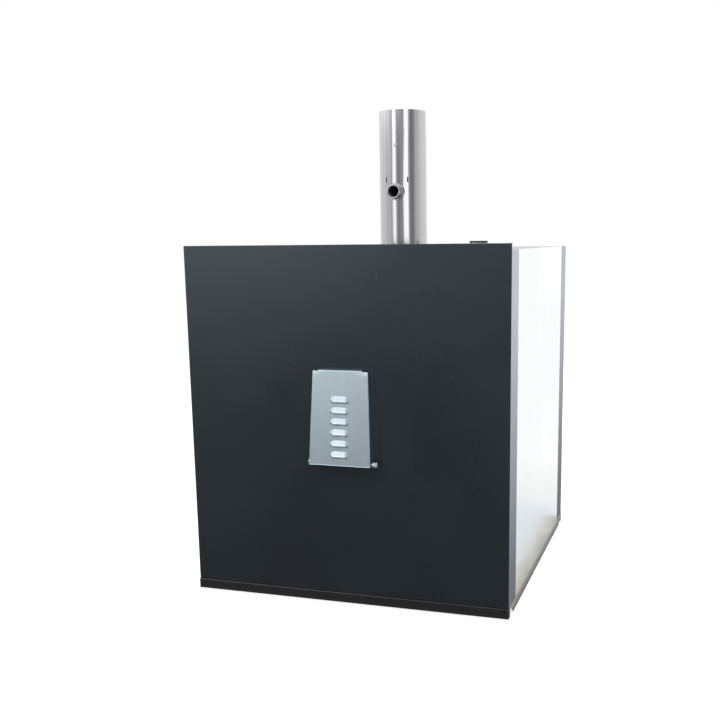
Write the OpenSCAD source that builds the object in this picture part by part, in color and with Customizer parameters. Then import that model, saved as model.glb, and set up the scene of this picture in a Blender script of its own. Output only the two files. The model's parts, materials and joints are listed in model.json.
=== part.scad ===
// Wood-fired bake oven with an insulated sheet steel casing, a vaulted fireclay chamber,
// a hinged front door, a louvred air hood on the rear face and a stainless flue.
// X runs along the width, Y from the rear face to the door, Z up from the ground.

/* [Casing] */
// Width over the two side faces
body_w = 930; // [880:5:1000]
// Depth over the rear and front faces
body_d = 964; // [930:2:1040]
// Height of the rear panel above the lower edge of the skirts
rear_h = 1000; // [990:1:1040]
// Height of the roof above the lower edge of the skirts
roof_h = 984; // [940:1:988]
// Height of the skirts above the ground
ground_gap = 5; // [0:1:12]
// Thickness of the casing sheet
sheet = 2; // [1:0.5:3]
// Width of a corner post on the side face
post_w = 97; // [70:1:120]
// Width of a corner post behind the end panels
post_return = 40; // [30:1:60]
// Thickness of a corner post
post_t = 3; // [2:0.5:5]
// Depth of the folded edges of the side panels
panel_return = 12; // [8:1:18]
// Depth of the folded top lip of the rear panel
lip_d = 15; // [8:1:30]
// Width of the folded bar that carries the roof
roof_bar_w = 20; // [16:1:30]

/* [Base] */
// Height of the channel frame
frame_h = 50; // [40:1:70]
// Width of the channels of the frame
channel_w = 50; // [40:1:80]
// Thickness of the channel frame
channel_t = 4; // [3:0.5:6]
// Distance of the frame behind the casing faces
frame_inset = 30; // [25:1:60]
// Height of the lip round the floor pan
pan_lip = 30; // [15:1:60]
// Height of the plinths and the side skirts
skirt_h = 28; // [20:1:40]
// Depth of the plinths and the side skirts
skirt_d = 22; // [15:1:26]
// How far the plinths stand proud of the end panels
plinth_proud = 3; // [1:0.5:6]
// How far the ends of the plinths stand past the side faces
plinth_end = 0.7; // [0.2:0.1:1.4]
// How far the side skirts stand proud of the side faces
skirt_proud = 1.5; // [0.5:0.5:4]
// Length of the slanted end of a corner shoe
shoe_slant = 40; // [20:1:60]

/* [Chamber] */
// Thickness of the insulation under the hearth
floor_insulation_h = 200; // [120:5:230]
// Thickness of the bed under the hearth tiles
bed_h = 60; // [40:1:80]
// Thickness of the hearth tiles
tile_h = 60; // [30:1:80]
// Number of hearth tiles along each side
tile_count = 3; // [2:1:5]
// Joint between neighbouring fireclay pieces
joint_gap = 0.5; // [0.2:0.1:2]
// Clear width of the chamber
chamber_w = 580; // [540:5:640]
// Clear depth of the chamber
chamber_d = 640; // [600:5:680]
// Height of the straight walls above the hearth
spring_h = 200; // [180:5:240]
// Rise of the vault above the straight walls
vault_rise = 130; // [110:5:160]
// Thickness of the vault
vault_t = 60; // [50:1:80]
// Thickness of the side walls
wall_t = 70; // [66:1:90]
// Thickness of the rear and front walls
end_wall_t = 50; // [40:1:70]

/* [Rear air hood] */
// Width of the air opening in the rear panel
vent_w = 110; // [80:1:120]
// Height of the air opening in the rear panel
vent_h = 170; // [120:1:180]
// Height of the centre of the air opening above the skirts
vent_z = 542; // [530:1:560]
// Thickness of the air duct
duct_t = 1.5; // [1:0.5:3]
// Diameter of the holes in the ember screen
screen_hole = 10; // [6:1:12]
// Distance between the holes of the ember screen
screen_pitch = 16; // [14:1:24]
// Height of the lower edge of the hood above the skirts
hood_z = 405; // [380:1:420]
// Height of the hood
hood_h = 261; // [240:1:280]
// Width of the hood at its top
hood_top_w = 160; // [150:1:170]
// Width of the hood at its bottom
hood_bottom_w = 179; // [176:1:200]
// Depth of the hood at its top
hood_top_d = 16; // [12:1:24]
// Depth of the hood at its bottom
hood_bottom_d = 38; // [37:1:50]
// Thickness of the hood sheet
hood_t = 1.5; // [1:0.5:2]
// Width of the folded top edge of the hood
hood_tab_w = 127; // [100:1:140]
// Depth of the corner notches beside the top edge
hood_notch = 3; // [2:0.5:6]
// Number of louvres in the hood
louvre_count = 6; // [3:1:6]
// Width of a louvre
louvre_w = 52; // [40:1:70]
// Height of a louvre
louvre_h = 16.5; // [12:0.5:20]
// Depth of a louvre
louvre_d = 6; // [4:0.5:8]
// Radius of the upper corners of a louvre
louvre_corner = 10; // [6:1:11]
// Distance between neighbouring louvres
louvre_pitch = 30; // [26:1:32]
// Height of the lowest louvre above the hood's lower edge
louvre_z = 24; // [22:1:34]
// Height of the hood pin above the hood's lower edge
pin_z = 6; // [5:1:8]
// Distance of the hood pin from the rear face
pin_d = 26; // [24:1:27]
// Diameter of the hood pin
hood_pin_dia = 6; // [5:1:8]
// Radius of the ears that hold the hood pin
ear_r = 8; // [7:0.5:9]
// Thickness of the hood bracket
bracket_t = 2; // [1.5:0.5:3]
// Distance of the bracket's screws from its middle
bracket_screw_x = 58; // [40:1:70]
// Length of the hood pin's head
pin_head_l = 4; // [2:0.5:6]
// Diameter of the clamp knob
knob_dia = 15; // [12:1:20]
// Length of the clamp knob
knob_l = 17; // [12:1:24]

/* [Flue] */
// Distance of the flue's axis from the rear face
flue_setback = 578; // [560:1:600]
// Outside diameter of the flue pipe
flue_dia = 150; // [130:5:160]
// Wall thickness of the flue pipe
flue_t = 1.5; // [1.5:0.5:3]
// Height of the top of the flue above the skirts
flue_top = 1405; // [1390:5:1600]
// Length of the drawn-in end of the flue pipe, which a chimney pipe slides over
spigot_l = 60; // [40:1:70]
// How far the end of the flue pipe is drawn in
spigot_step = 0.6; // [0.6:0.1:0.9]
// Width of the throat block over the vault
throat_w = 230; // [200:5:260]
// Height of the throat block above the crown of the vault
throat_h = 30; // [20:1:50]
// Depth of the seat of the pipe in the throat block
throat_seat = 20; // [10:1:30]
// Diameter of the roof collar
collar_dia = 240; // [220:5:280]
// Distance of the collar's screws from its edge
collar_screw_in = 12; // [8:1:14]
// Height of the upstand of the roof collar
collar_h = 10; // [4:1:12]
// Height of the measuring socket above the skirts
socket_z = 1158; // [1140:1:1180]
// Outside diameter of the measuring socket
socket_dia = 42; // [34:1:48]
// Bore of the measuring socket
socket_bore = 33; // [26:1:38]
// Distance of the open end of the socket from the flue's axis
socket_reach = 107; // [100:1:130]
// How far the socket reaches into the flue pipe
socket_end = 4; // [1:0.5:8]
// Diameter of the saddle ring round the socket
saddle_dia = 52; // [50:1:70]
// Thickness of the saddle ring on the crown of the pipe
saddle_t = 10; // [6:1:14]
// Height of the centre of the strap slots above the skirts
slot_z = 1195; // [1190:1:1220]
// Height of a strap slot
slot_h = 16; // [10:1:20]
// Width of a strap slot
slot_w = 4; // [2:0.5:6]
// Angle of each strap slot from the rear side of the pipe
slot_angle = 27.5; // [24:0.5:40]
// Height of the damper's spindle above the skirts
damper_z = 1299; // [1290:1:1310]
// Diameter of the damper's spindle
spindle_dia = 8; // [6:1:10]
// Gap between the closed damper plate and the pipe
damper_gap = 4; // [3:0.5:8]
// Thickness of the damper plate
damper_t = 2; // [1.5:0.5:3]
// Distance between the pipe and the damper's handle
handle_standoff = 30; // [20:1:50]
// Width of the damper's handle
handle_w = 14; // [12:1:20]
// Thickness of the damper's handle
handle_t = 5; // [3:0.5:8]
// Length of the damper's handle
handle_l = 80; // [60:1:100]
// Diameter of the knob of the damper's handle
handle_knob_dia = 26; // [20:1:32]
// Length of the stem between the handle and its knob
handle_stem_l = 7; // [4:0.5:10]

/* [Steam vent] */
// Distance of the steam vent from the middle of the oven
steam_x = 256; // [240:1:270]
// Distance of the steam vent from the rear face
steam_setback = 534; // [510:1:600]
// Outside diameter of the steam pipe
steam_dia = 42; // [34:1:48]
// Wall thickness of the steam pipe
steam_t = 2; // [1:0.5:3]
// Width of the flange of the steam pipe on the roof
steam_flange_w = 20; // [10:1:30]
// Height of the rim at the top of the steam pipe
steam_rim_h = 5; // [3:0.5:8]
// Height of the steam pipe above the roof
steam_h = 16.5; // [14:0.5:24]
// Diameter of the steam cap
cap_dia = 57; // [50:1:64]
// Thickness of the steam cap
cap_t = 5; // [3:0.5:8]
// Length of the plug under the steam cap
plug_l = 36; // [30:1:50]

/* [Door] */
// Clear width of the oven mouth
mouth_w = 420; // [360:5:440]
// Clear height of the oven mouth
mouth_h = 250; // [200:5:260]
// Width of the door frame beside the mouth
frame_rim = 76; // [70:1:90]
// Height of the door frame above and below the mouth
frame_rim_z = 55; // [50:1:62]
// Thickness of the door frame
door_frame_t = 6; // [4:1:10]
// How far the door laps over the mouth on each side
door_lap = 40; // [34:1:44]
// Thickness of the door between its two faces
door_t = 42; // [34:1:50]
// Thickness of the door seal
seal_t = 6; // [4:0.5:8]
// Width of the door seal
seal_w = 12; // [8:1:14]
// Distance of the door hinge from the door's edge
hinge_out = 20; // [16:1:24]
// Distance of the door hinge from the front panel
hinge_d = 30; // [28:1:32]
// Half thickness of the hinge leaves
leaf_hw = 5; // [3:0.5:7]
// Radius of the hinge barrels
barrel_r = 10; // [8:0.5:12]
// Diameter of the hinge pins
hinge_pin_dia = 10; // [8:1:12]
// Height of one hinge barrel
barrel_h = 24; // [18:1:30]
// Distance between the two hinges
hinge_pitch = 220; // [180:5:240]
// Distance of the latch pivot inside the edge of the mouth
latch_in = 5; // [0:1:10]
// Distance of the latch lever from the door
lever_gap = 7; // [5:0.5:10]
// Width of the latch keeper
keeper_w = 24; // [16:1:28]
// Thickness of the latch keeper
keeper_t = 6; // [4:0.5:8]
// Gap between the latched lever and its keeper
keeper_gap = 1.5; // [1:0.5:3]
// Width of the latch lever
lever_w = 22; // [18:1:26]
// Thickness of the latch lever
lever_t = 8; // [6:1:10]
// Length of the latch lever from its pivot to the nose
nose_l = 80; // [76:1:86]
// Length of the latch lever from its pivot to the grip
grip_arm = 110; // [90:1:120]
// Angle of the lever when the door is free to open
lever_angle = 35; // [30:1:40]
// Diameter of the latch pivot
latch_pin_dia = 10; // [8:1:12]
// Length of the grip on the lever
grip_l = 62; // [50:1:80]
// Largest diameter of the grip
grip_dia = 30; // [26:1:36]
// Number of air ports in the door
port_count = 5; // [3:1:5]
// Height of the air ports above the hearth
port_up = 20; // [16:1:26]
// Width of an air port
port_w = 24; // [18:1:26]
// Height of an air port
port_h = 14; // [10:1:18]
// Width of the air slide above and below its ports
slide_edge = 9; // [8:0.5:12]
// Width of the guides above and below the air slide
guide_w = 6; // [4:0.5:8]
// Lap of the guides over the air slide
guide_lap = 4; // [2:0.5:6]
// Diameter of the knob of the air slide
slide_knob_dia = 16; // [12:1:20]
// Length of the knob of the air slide
slide_knob_l = 20; // [14:1:26]
// Thickness of the air slide
slide_t = 2; // [1.5:0.5:3]
// Height of the thermometer above the middle of the door
thermo_up = 72.5; // [68:0.5:78]
// Width of the rim of the door thermometer
bezel = 3; // [2:0.5:5]
// Thickness of the thermometer's back and of its dial
dial_t = 1; // [0.8:0.1:1.5]
// Thickness of the thermometer's glass
glass_t = 1.5; // [1:0.5:2]
// Diameter of the thermometer's probe
probe_dia = 8; // [5:0.5:10]
// Diameter of the door thermometer
thermo_dia = 66; // [56:1:76]
// Depth of the door thermometer
thermo_d = 13; // [12:1:18]
// Length of the thermometer's probe behind the door
probe_l = 24; // [10:1:40]

/* [Fits] */
// Clearance between fitted parts of the casing
fit_gap = 0.3; // [0.2:0.1:0.8]
// Radial clearance of a turning or sliding pin
running_gap = 0.06; // [0.04:0.01:0.1]
// Side clearance of a moving sheet part
side_gap = 0.5; // [0.4:0.1:0.9]

/* [Hidden] */
$fn = 96;

// Colours of the finishes
anthracite = "#3d434a";
grey_coat = "#b4b8c4";
bright_sheet = "#dfe3e6";
satin_steel = "#a9b3bb";
stainless = "#c2c5c8";
dark_steel = "#2b2c2e";
fireclay = "#c9a884";
mineral_wool = "#b7a77a";
black_grip = "#1c1c1d";

// Faces of the casing
x_side = body_w / 2;
y_rear = -body_d / 2;
y_front = body_d / 2;
z_skirt = ground_gap;
z_plinth = z_skirt + skirt_h;
z_roof = z_skirt + roof_h;
z_rear_top = z_skirt + rear_h;
x_post = x_side - post_t;
y_post = y_front - sheet;
y_post_in = y_post - post_t;
post_edge = y_front - post_w;
z_angle = z_roof - sheet - roof_bar_w;

// Levels of the hearth and the vault
z_pan = frame_h;
z_pan_top = z_pan + sheet;
z_bed = z_pan_top + floor_insulation_h;
z_wall = z_bed + bed_h;
z_hearth = z_wall + tile_h;
z_spring = z_hearth + spring_h;
chamber_hw = chamber_w / 2;
chamber_hd = chamber_d / 2;
shell_hw = chamber_hw + wall_t;
shell_hd = chamber_hd + end_wall_t;
arch_r = (chamber_hw * chamber_hw + vault_rise * vault_rise) / (2 * vault_rise);
arch_z = z_spring + vault_rise - arch_r;
vault_r = arch_r + vault_t;
z_crown = arch_z + vault_r;
wool_x = x_side - sheet - panel_return;
wool_y = y_post_in - fit_gap;

// Flue
flue_y = y_rear + flue_setback;
flue_r = flue_dia / 2;
flue_bore_r = flue_r - flue_t;
z_throat = z_crown + throat_h;
z_flue_foot = z_throat - throat_seat;
z_flue_top = z_skirt + flue_top;
z_socket = z_skirt + socket_z;
z_damper = z_skirt + damper_z;
y_nub = flue_y - flue_r - side_gap;
y_handle = flue_y + flue_r + handle_standoff;
steam_y = y_rear + steam_setback;
z_steam_foot = arch_z + sqrt(pow(arch_r, 2) - pow(steam_x, 2)) + vault_t / 6;
z_steam_top = z_roof + steam_h;

// Rear air hood
z_vent = z_skirt + vent_z;
z_hood = z_skirt + hood_z;
z_hood_top = z_hood + hood_h;
y_pin = y_rear - pin_d;
z_pin = z_hood + pin_z;
hood_slope = (hood_bottom_d - hood_top_d) / hood_h;
hood_angle = atan(hood_slope);
hood_taper = (hood_bottom_w - hood_top_w) / 2 / hood_h;
hood_edge_x = hood_bottom_w / 2 - hood_taper * pin_z;
ear_x = hood_edge_x - hood_t - 2 * side_gap;
pin_head_x = hood_edge_x + 2 * side_gap;
louvre_r = (louvre_h * louvre_h + louvre_d * louvre_d) / (2 * louvre_d);
knob_neck = 3;
flute_r = 1.2;
hood_relief = 8;

// Door
sleeve_t = door_frame_t;
z_mouth = z_hearth;
z_door = z_mouth + mouth_h / 2;
y_frame = y_front + door_frame_t;
door_hw = mouth_w / 2 + door_lap;
door_hh = mouth_h / 2 + door_lap;
y_liner = y_frame + seal_t;
y_door = y_liner + door_t;
hinge_x = door_hw + hinge_out;
hinge_y = y_front + hinge_d;
// Height of the lower end of each door hinge
hinge_rows = [z_door - hinge_pitch / 2 - barrel_h, z_door + hinge_pitch / 2 - barrel_h];
latch_x = latch_in - mouth_w / 2;
y_lever = y_door + lever_gap;
y_lever_top = y_lever + lever_t + side_gap;
lever_tip_x = latch_x - nose_l;
pivot_l = 8;
pivot_head_l = 5.5;
grip_r = grip_dia / 2;
z_port = z_mouth + port_up;
port_pitch = port_w * 2;
slide_w = port_pitch * port_count + port_w;
slide_h = port_h + 2 * slide_edge;
z_slide = z_port + port_h / 2;
y_guide = y_door + slide_t + 2 * fit_gap;
slide_knob_x = (port_pitch * port_count - port_w / 2) / 2;
thermo_z = z_door + thermo_up;
thermo_r = thermo_dia / 2;
dial_r = thermo_r - bezel - fit_gap;
probe_r = probe_dia / 2;
y_dial = y_door + 2 * dial_t;
y_pointer = y_dial + 3 * dial_t;
y_glass = y_door + thermo_d - glass_t - dial_t;
pointer_t = 1;
pointer_pin_r = 1;
pointer_tail = 7;
pointer_hw = 1.5;

// Positions of the screws of the roof and of the front panel
roof_rows = [-0.6, -0.3, 0, 0.3, 0.6];
roof_screw_x = x_post - roof_bar_w / 2;
roof_screw_y = y_post_in - roof_bar_w / 2;
front_screw_x = x_side - post_return / 2;
front_rows = [0.06, 0.28, 0.5, 0.72, 0.94];
screw_r = 2;
screw_head_r = 4.5;
screw_head_h = 2.6;
screw_slot = 1;
screw_end = 4;

// A block between two opposite corners
module block(low, high) translate(low) cube(high - low);

// A flat outline in Y and Z, drawn out along X
module along_x(x0, x1) translate([x0, 0, 0]) rotate([90, 0, 90]) linear_extrude(x1 - x0) children();

// A flat outline in X and Z, drawn out along Y
module along_y(y0, y1) translate([0, y1, 0]) rotate([90, 0, 0]) linear_extrude(y1 - y0) children();

module rod_x(r, x0, x1, y, z) translate([x0, y, z]) rotate([0, 90, 0]) cylinder(r = r, h = x1 - x0);
module rod_y(r, y0, y1, x, z) translate([x, y0, z]) rotate([-90, 0, 0]) cylinder(r = r, h = y1 - y0);
module rod_z(r, z0, z1, x, y) translate([x, y, z0]) cylinder(r = r, h = z1 - z0);

// The same piece on the left and on the right
module both_sides() {
  children();
  mirror([1, 0, 0]) children();
}

// The same piece at all four corners
module four_corners() {
  both_sides() children();
  mirror([0, 1, 0]) both_sides() children();
}

// A flat bar with round ends between two points of the XZ plane
module round_bar(a, b, w) {
  step = b - a;
  translate(a) circle(d = w);
  translate(b) circle(d = w);
  translate(a) rotate(atan2(step[1], step[0])) translate([0, -w / 2]) square([norm(step), w]);
}

// A screw with a pan head: the head's seat is at the origin and the shank points down
module pan_screw(l) {
  difference() {
    cylinder(r = screw_head_r, h = screw_head_h);
    translate([-screw_head_r, -screw_slot / 2, screw_head_h - screw_slot])
      cube([2 * screw_head_r, screw_slot, 2 * screw_slot]);
  }
  translate([0, 0, -l]) cylinder(r = screw_r, h = l + 0.5);
}

// Base

module base_frame() color(dark_steel) {
  x0 = x_side - frame_inset;
  y0 = y_front - frame_inset;
  difference() {
    block([-x0, -y0, 0], [x0, y0, frame_h]);
    block([-x0 + channel_t, -y0 + channel_t, channel_t],
      [x0 - channel_t, y0 - channel_t, frame_h - channel_t]);
    for (s = [-1, 1])
      translate([0, s * (y0 - channel_w / 2) / 2, frame_h / 2])
        cube([2 * (x0 - channel_w), y0 - channel_w - channel_w / 2, frame_h * 2], center = true);
  }
  block([-x0 + channel_t, -channel_t / 2, channel_t], [x0 - channel_t, channel_t / 2, frame_h - channel_t]);
}

module floor_pan() color(bright_sheet)
  difference() {
    block([-x_post, -y_post_in, z_pan], [x_post, y_post_in, z_pan_top + pan_lip]);
    block([-x_post + sheet, -y_post_in + sheet, z_pan_top],
      [x_post - sheet, y_post_in - sheet, z_pan_top + pan_lip + 1]);
  }

// A plinth as a folded channel: its face, its top ledge and its two ends
module plinth() {
  y1 = y_front + plinth_proud;
  x1 = x_side + plinth_end;
  difference() {
    block([-x1, y1 - skirt_d, z_skirt], [x1, y1, z_plinth]);
    block([-x1 + sheet, y1 - skirt_d - 1, z_skirt - 1], [x1 - sheet, y1 - sheet, z_plinth - sheet]);
  }
}

module rear_plinth() color(dark_steel) mirror([0, 1, 0]) plinth();

module front_plinth() color(dark_steel) plinth();

module side_skirts() color(dark_steel)
  both_sides() {
    x1 = x_side + skirt_proud;
    difference() {
      block([x1 - skirt_d, -post_edge + fit_gap, z_skirt], [x1, post_edge - fit_gap, z_plinth]);
      block([x1 - skirt_d - 1, -body_d, z_skirt - 1], [x1 - sheet, body_d, z_plinth - sheet]);
    }
  }

// A shoe under each corner post, cut at a slant beside the plinth
module corner_shoes() color(dark_steel)
  four_corners() {
    x1 = x_side + skirt_proud;
    y1 = y_front + plinth_proud - skirt_d - 2 * side_gap;
    difference() {
      along_x(x1 - skirt_d, x1)
        polygon([[post_edge + fit_gap, z_skirt], [y1 - shoe_slant, z_skirt], [y1, z_plinth],
          [post_edge + fit_gap, z_plinth]]);
      block([x1 - skirt_d - 1, 0, z_skirt - 1], [x1 - sheet, y_front, z_plinth - sheet]);
    }
  }

// Casing

module corner_posts() color(grey_coat)
  difference() {
    four_corners() {
      block([x_post, post_edge, z_plinth], [x_side, y_post, z_roof]);
      block([x_side - post_return, y_post_in, z_plinth], [x_side, y_post, z_roof - sheet]);
    }
    both_sides() front_screw_holes();
  }

module roof_frame() color(dark_steel)
  difference() {
    block([-x_post, -y_post_in, z_angle], [x_post, y_post_in, z_roof - sheet]);
    block([-x_post + sheet, -y_post_in + sheet, z_angle - 1],
      [x_post - sheet, y_post_in - sheet, z_roof - 2 * sheet]);
    block([-x_post + roof_bar_w, -y_post_in + roof_bar_w, z_angle],
      [x_post - roof_bar_w, y_post_in - roof_bar_w, z_roof]);
    roof_screw_places() cylinder(r = screw_r + running_gap, h = 4 * sheet, center = true);
  }

module side_panel() {
  z0 = z_pan_top + pan_lip + fit_gap;
  z1 = z_angle - fit_gap;
  block([x_side - sheet, -post_edge, z_plinth], [x_side, post_edge, z_roof]);
  for (s = [-1, 1])
    translate([x_side - sheet - panel_return, s * (post_edge - sheet / 2) - sheet / 2, z0])
      cube([panel_return + sheet / 2, sheet, z1 - z0]);
}

module left_panel() color(bright_sheet) mirror([1, 0, 0]) side_panel();

module right_panel() color(bright_sheet) side_panel();

module rear_panel() color(anthracite)
  difference() {
    union() {
      block([-x_side, y_rear, z_plinth], [x_side, y_rear + sheet, z_rear_top]);
      block([-x_side, y_rear, z_rear_top - sheet], [x_side, y_rear + lip_d, z_rear_top]);
    }
    along_y(y_rear - 1, y_rear + sheet + 1)
      translate([-vent_w / 2, z_vent - vent_h / 2]) square([vent_w, vent_h]);
    bracket_screw_holes();
  }

module front_panel() color(anthracite)
  difference() {
    block([-x_side, y_front - sheet, z_plinth], [x_side, y_front, z_roof]);
    sleeve_space();
    both_sides() front_screw_holes();
  }

module roof_panel() color(bright_sheet)
  difference() {
    block([-x_post, -y_post, z_roof - sheet], [x_post, y_post, z_roof]);
    rod_z(flue_r + fit_gap, 0, z_roof + 1, 0, flue_y);
    rod_z(steam_dia / 2 + fit_gap, 0, z_roof + 1, steam_x, steam_y);
    roof_screw_places() cylinder(r = screw_r + running_gap, h = 4 * sheet, center = true);
    collar_screw_places() cylinder(r = screw_r + running_gap, h = 8 * sheet, center = true);
  }

// Puts a child at each screw of the roof, along its rear and front edges
module roof_screw_places()
  for (sy = [-1, 1], row = roof_rows)
    translate([row * roof_screw_x, sy * roof_screw_y, z_roof]) children();

// Puts a child at each screw of the roof collar
module collar_screw_places()
  for (a = [45:90:315])
    translate([0, flue_y, z_roof + sheet])
      rotate(a) translate([collar_dia / 2 - collar_screw_in, 0, 0]) children();

module front_screw_holes()
  for (row = front_rows)
    translate([front_screw_x, 0, z_plinth + row * (z_roof - z_plinth)])
      rod_y(screw_r + running_gap, y_post_in - 1, y_front + 1, 0, 0);

module bracket_screw_holes()
  for (s = [-1, 1])
    rod_y(screw_r + running_gap, y_rear - bracket_t - 1, y_rear + sheet + 1, s * bracket_screw_x, z_pin);

module casing_screws() color(stainless) {
  roof_screw_places() pan_screw(2 * sheet + screw_end);
  collar_screw_places() pan_screw(2 * sheet + 1);
  both_sides()
    for (row = front_rows)
      translate([front_screw_x, y_front, z_plinth + row * (z_roof - z_plinth)])
        rotate([-90, 0, 0]) pan_screw(sheet + post_t);
  for (s = [-1, 1])
    translate([s * bracket_screw_x, y_rear - bracket_t, z_pin])
      rotate([90, 0, 0]) pan_screw(bracket_t + sheet);
}

// Hearth, walls and vault

module floor_insulation() color(mineral_wool) {
  y0 = y_post_in - sheet - fit_gap;
  block([-wool_x + fit_gap, -y0, z_pan_top], [wool_x - fit_gap, y0, z_bed]);
}

module hearth_bed() color(fireclay)
  block([-shell_hw, -shell_hd, z_bed], [shell_hw, shell_hd, z_wall]);

module hearth_tiles() color(fireclay) {
  tile_w = chamber_w / tile_count;
  tile_d = chamber_d / tile_count;
  for (i = [0:tile_count - 1], j = [0:tile_count - 1])
    translate([-chamber_hw + i * tile_w + joint_gap / 2, -chamber_hd + j * tile_d + joint_gap / 2, z_wall])
      cube([tile_w - joint_gap, tile_d - joint_gap, tile_h]);
}

module side_walls() color(fireclay)
  both_sides() block([chamber_hw, -chamber_hd, z_wall], [shell_hw, chamber_hd, z_spring]);

// Outline of the fireclay shell above the straight walls
module crown_outline(r)
  intersection() {
    translate([0, arch_z]) circle(r = r, $fn = 180);
    translate([-shell_hw, z_spring]) square([2 * shell_hw, vault_r]);
  }

module end_wall_outline() {
  translate([-shell_hw, z_wall]) square([2 * shell_hw, z_spring - z_wall]);
  crown_outline(vault_r);
}

module rear_wall() color(fireclay)
  along_y(-shell_hd, -chamber_hd)
    difference() {
      end_wall_outline();
      duct_outline(fit_gap);
    }

module front_wall() color(fireclay)
  difference() {
    along_y(chamber_hd, shell_hd) end_wall_outline();
    sleeve_space();
  }

module vault_ring(y0, y1)
  along_y(y0 + joint_gap / 2, y1 - joint_gap / 2)
    difference() {
      crown_outline(vault_r);
      translate([0, arch_z]) circle(r = arch_r, $fn = 180);
    }

module vault_arches() color(fireclay) {
  y_mid = (flue_y - throat_w / 2 - chamber_hd) / 2;
  vault_ring(-chamber_hd, y_mid);
  vault_ring(y_mid, flue_y - throat_w / 2);
  vault_ring(flue_y + throat_w / 2, chamber_hd);
}

module flue_arch() color(fireclay)
  difference() {
    vault_ring(flue_y - throat_w / 2, flue_y + throat_w / 2);
    rod_z(flue_bore_r, z_spring, z_crown + 1, 0, flue_y);
    rod_z(steam_dia / 2 + fit_gap, z_spring, z_crown + 1, steam_x, steam_y);
  }

module throat_block() color(fireclay)
  difference() {
    block([-throat_w / 2, flue_y - throat_w / 2 + joint_gap, z_spring],
      [throat_w / 2, flue_y + throat_w / 2 - joint_gap, z_throat]);
    rod_y(vault_r + fit_gap, -body_d, body_d, 0, arch_z);
    rod_z(flue_bore_r, z_spring, z_throat + 1, 0, flue_y);
    rod_z(flue_r + fit_gap, z_flue_foot, z_throat + 1, 0, flue_y);
  }

// Insulation

module side_insulation() color(mineral_wool)
  both_sides() block([shell_hw + fit_gap, -wool_y, z_bed], [wool_x - fit_gap, wool_y, z_angle]);

module rear_insulation() color(mineral_wool)
  difference() {
    block([-shell_hw, -wool_y, z_bed], [shell_hw, -shell_hd, z_angle]);
    along_y(y_rear, 0) duct_outline(fit_gap);
  }

module front_insulation() color(mineral_wool)
  difference() {
    block([-shell_hw, shell_hd, z_bed], [shell_hw, wool_y, z_angle]);
    sleeve_space();
  }

module roof_insulation() color(mineral_wool)
  difference() {
    block([-shell_hw, -shell_hd + fit_gap, z_spring + fit_gap], [shell_hw, shell_hd - fit_gap, z_angle]);
    rod_y(vault_r + fit_gap, -body_d, body_d, 0, arch_z);
    block([-throat_w / 2 - fit_gap, flue_y - throat_w / 2, z_spring],
      [throat_w / 2 + fit_gap, flue_y + throat_w / 2, z_throat + fit_gap]);
    rod_z(flue_r + fit_gap, z_spring, z_roof, 0, flue_y);
    rod_z(steam_dia / 2 + fit_gap, z_spring, z_roof, steam_x, steam_y);
  }

// Rear air opening and hood

module duct_outline(gap)
  translate([-vent_w / 2 - duct_t - gap, z_vent - vent_h / 2 - duct_t - gap])
    square([vent_w + 2 * (duct_t + gap), vent_h + 2 * (duct_t + gap)]);

module air_duct() color(bright_sheet)
  along_y(y_rear + sheet, -chamber_hd)
    difference() {
      duct_outline(0);
      translate([-vent_w / 2, z_vent - vent_h / 2]) square([vent_w, vent_h]);
    }

module ember_screen() color(dark_steel) {
  nx = floor((vent_w - screen_hole) / screen_pitch);
  nz = floor((vent_h - screen_hole) / screen_pitch);
  difference() {
    translate([0, y_rear + 2 * sheet + duct_t / 2, z_vent])
      cube([vent_w - fit_gap, duct_t, vent_h - fit_gap], center = true);
    for (i = [0:nx - 1], j = [0:nz - 1])
      rod_y(screen_hole / 2, y_rear, y_rear + 5 * sheet, (i - (nx - 1) / 2) * screen_pitch,
        z_vent + (j - (nz - 1) / 2) * screen_pitch);
  }
}

module hood_bracket() color(bright_sheet)
  difference() {
    union() {
      block([-ear_x, y_rear - bracket_t, z_pin - ear_r], [ear_x, y_rear, z_pin + ear_r]);
      both_sides()
        along_x(ear_x - bracket_t, ear_x) {
          translate([y_pin, z_pin]) circle(r = ear_r);
          translate([y_pin, z_pin - ear_r]) square([pin_d, 2 * ear_r]);
        }
    }
    rod_x(hood_pin_dia / 2 + running_gap, -body_w, body_w, y_pin, z_pin);
    bracket_screw_holes();
  }

// Front outline of the hood, drawn in by the thickness given
module hood_outline(t) {
  top = hood_top_w / 2 - t;
  bottom = hood_bottom_w / 2 - t;
  polygon([[-bottom, z_hood], [bottom, z_hood], [top, z_hood_top], [-top, z_hood_top]]);
}

// Side outline of the hood, drawn in by the thickness given, with its lower inner corner
// cut off so that the hood can tilt
module hood_profile(t)
  polygon([[y_rear - hood_t, z_hood_top - t], [y_rear - hood_top_d + t, z_hood_top - t],
    [y_rear - hood_bottom_d + t, z_hood], [y_rear - hood_relief, z_hood],
    [y_rear - hood_t, z_hood + hood_relief - 1]]);

// A louvre as a quarter of a round bulge with its opening facing down, drawn in by t
// and reaching y_in behind the face of the plate
module louvre(t, y_in) {
  w = louvre_w / 2 - louvre_corner;
  h = louvre_h - louvre_corner;
  intersection() {
    rod_x(louvre_r - t, -louvre_w, louvre_w, louvre_r - louvre_d, 0);
    along_y(-2 * louvre_d, y_in) {
      translate([-w, -t]) square([2 * w, louvre_h]);
      translate([-louvre_w / 2 + t, -t]) square([louvre_w - 2 * t, h + t]);
      for (s = [-1, 1]) translate([s * w, h]) circle(r = louvre_corner - t);
    }
  }
}

// Puts a child on the sloping plate of the hood at each louvre
module louvre_places()
  for (i = [0:louvre_count - 1])
    translate([0, y_rear - hood_bottom_d, z_hood])
      rotate([-hood_angle, 0, 0])
        translate([0, 0, louvre_z + i * louvre_pitch]) children();

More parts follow.
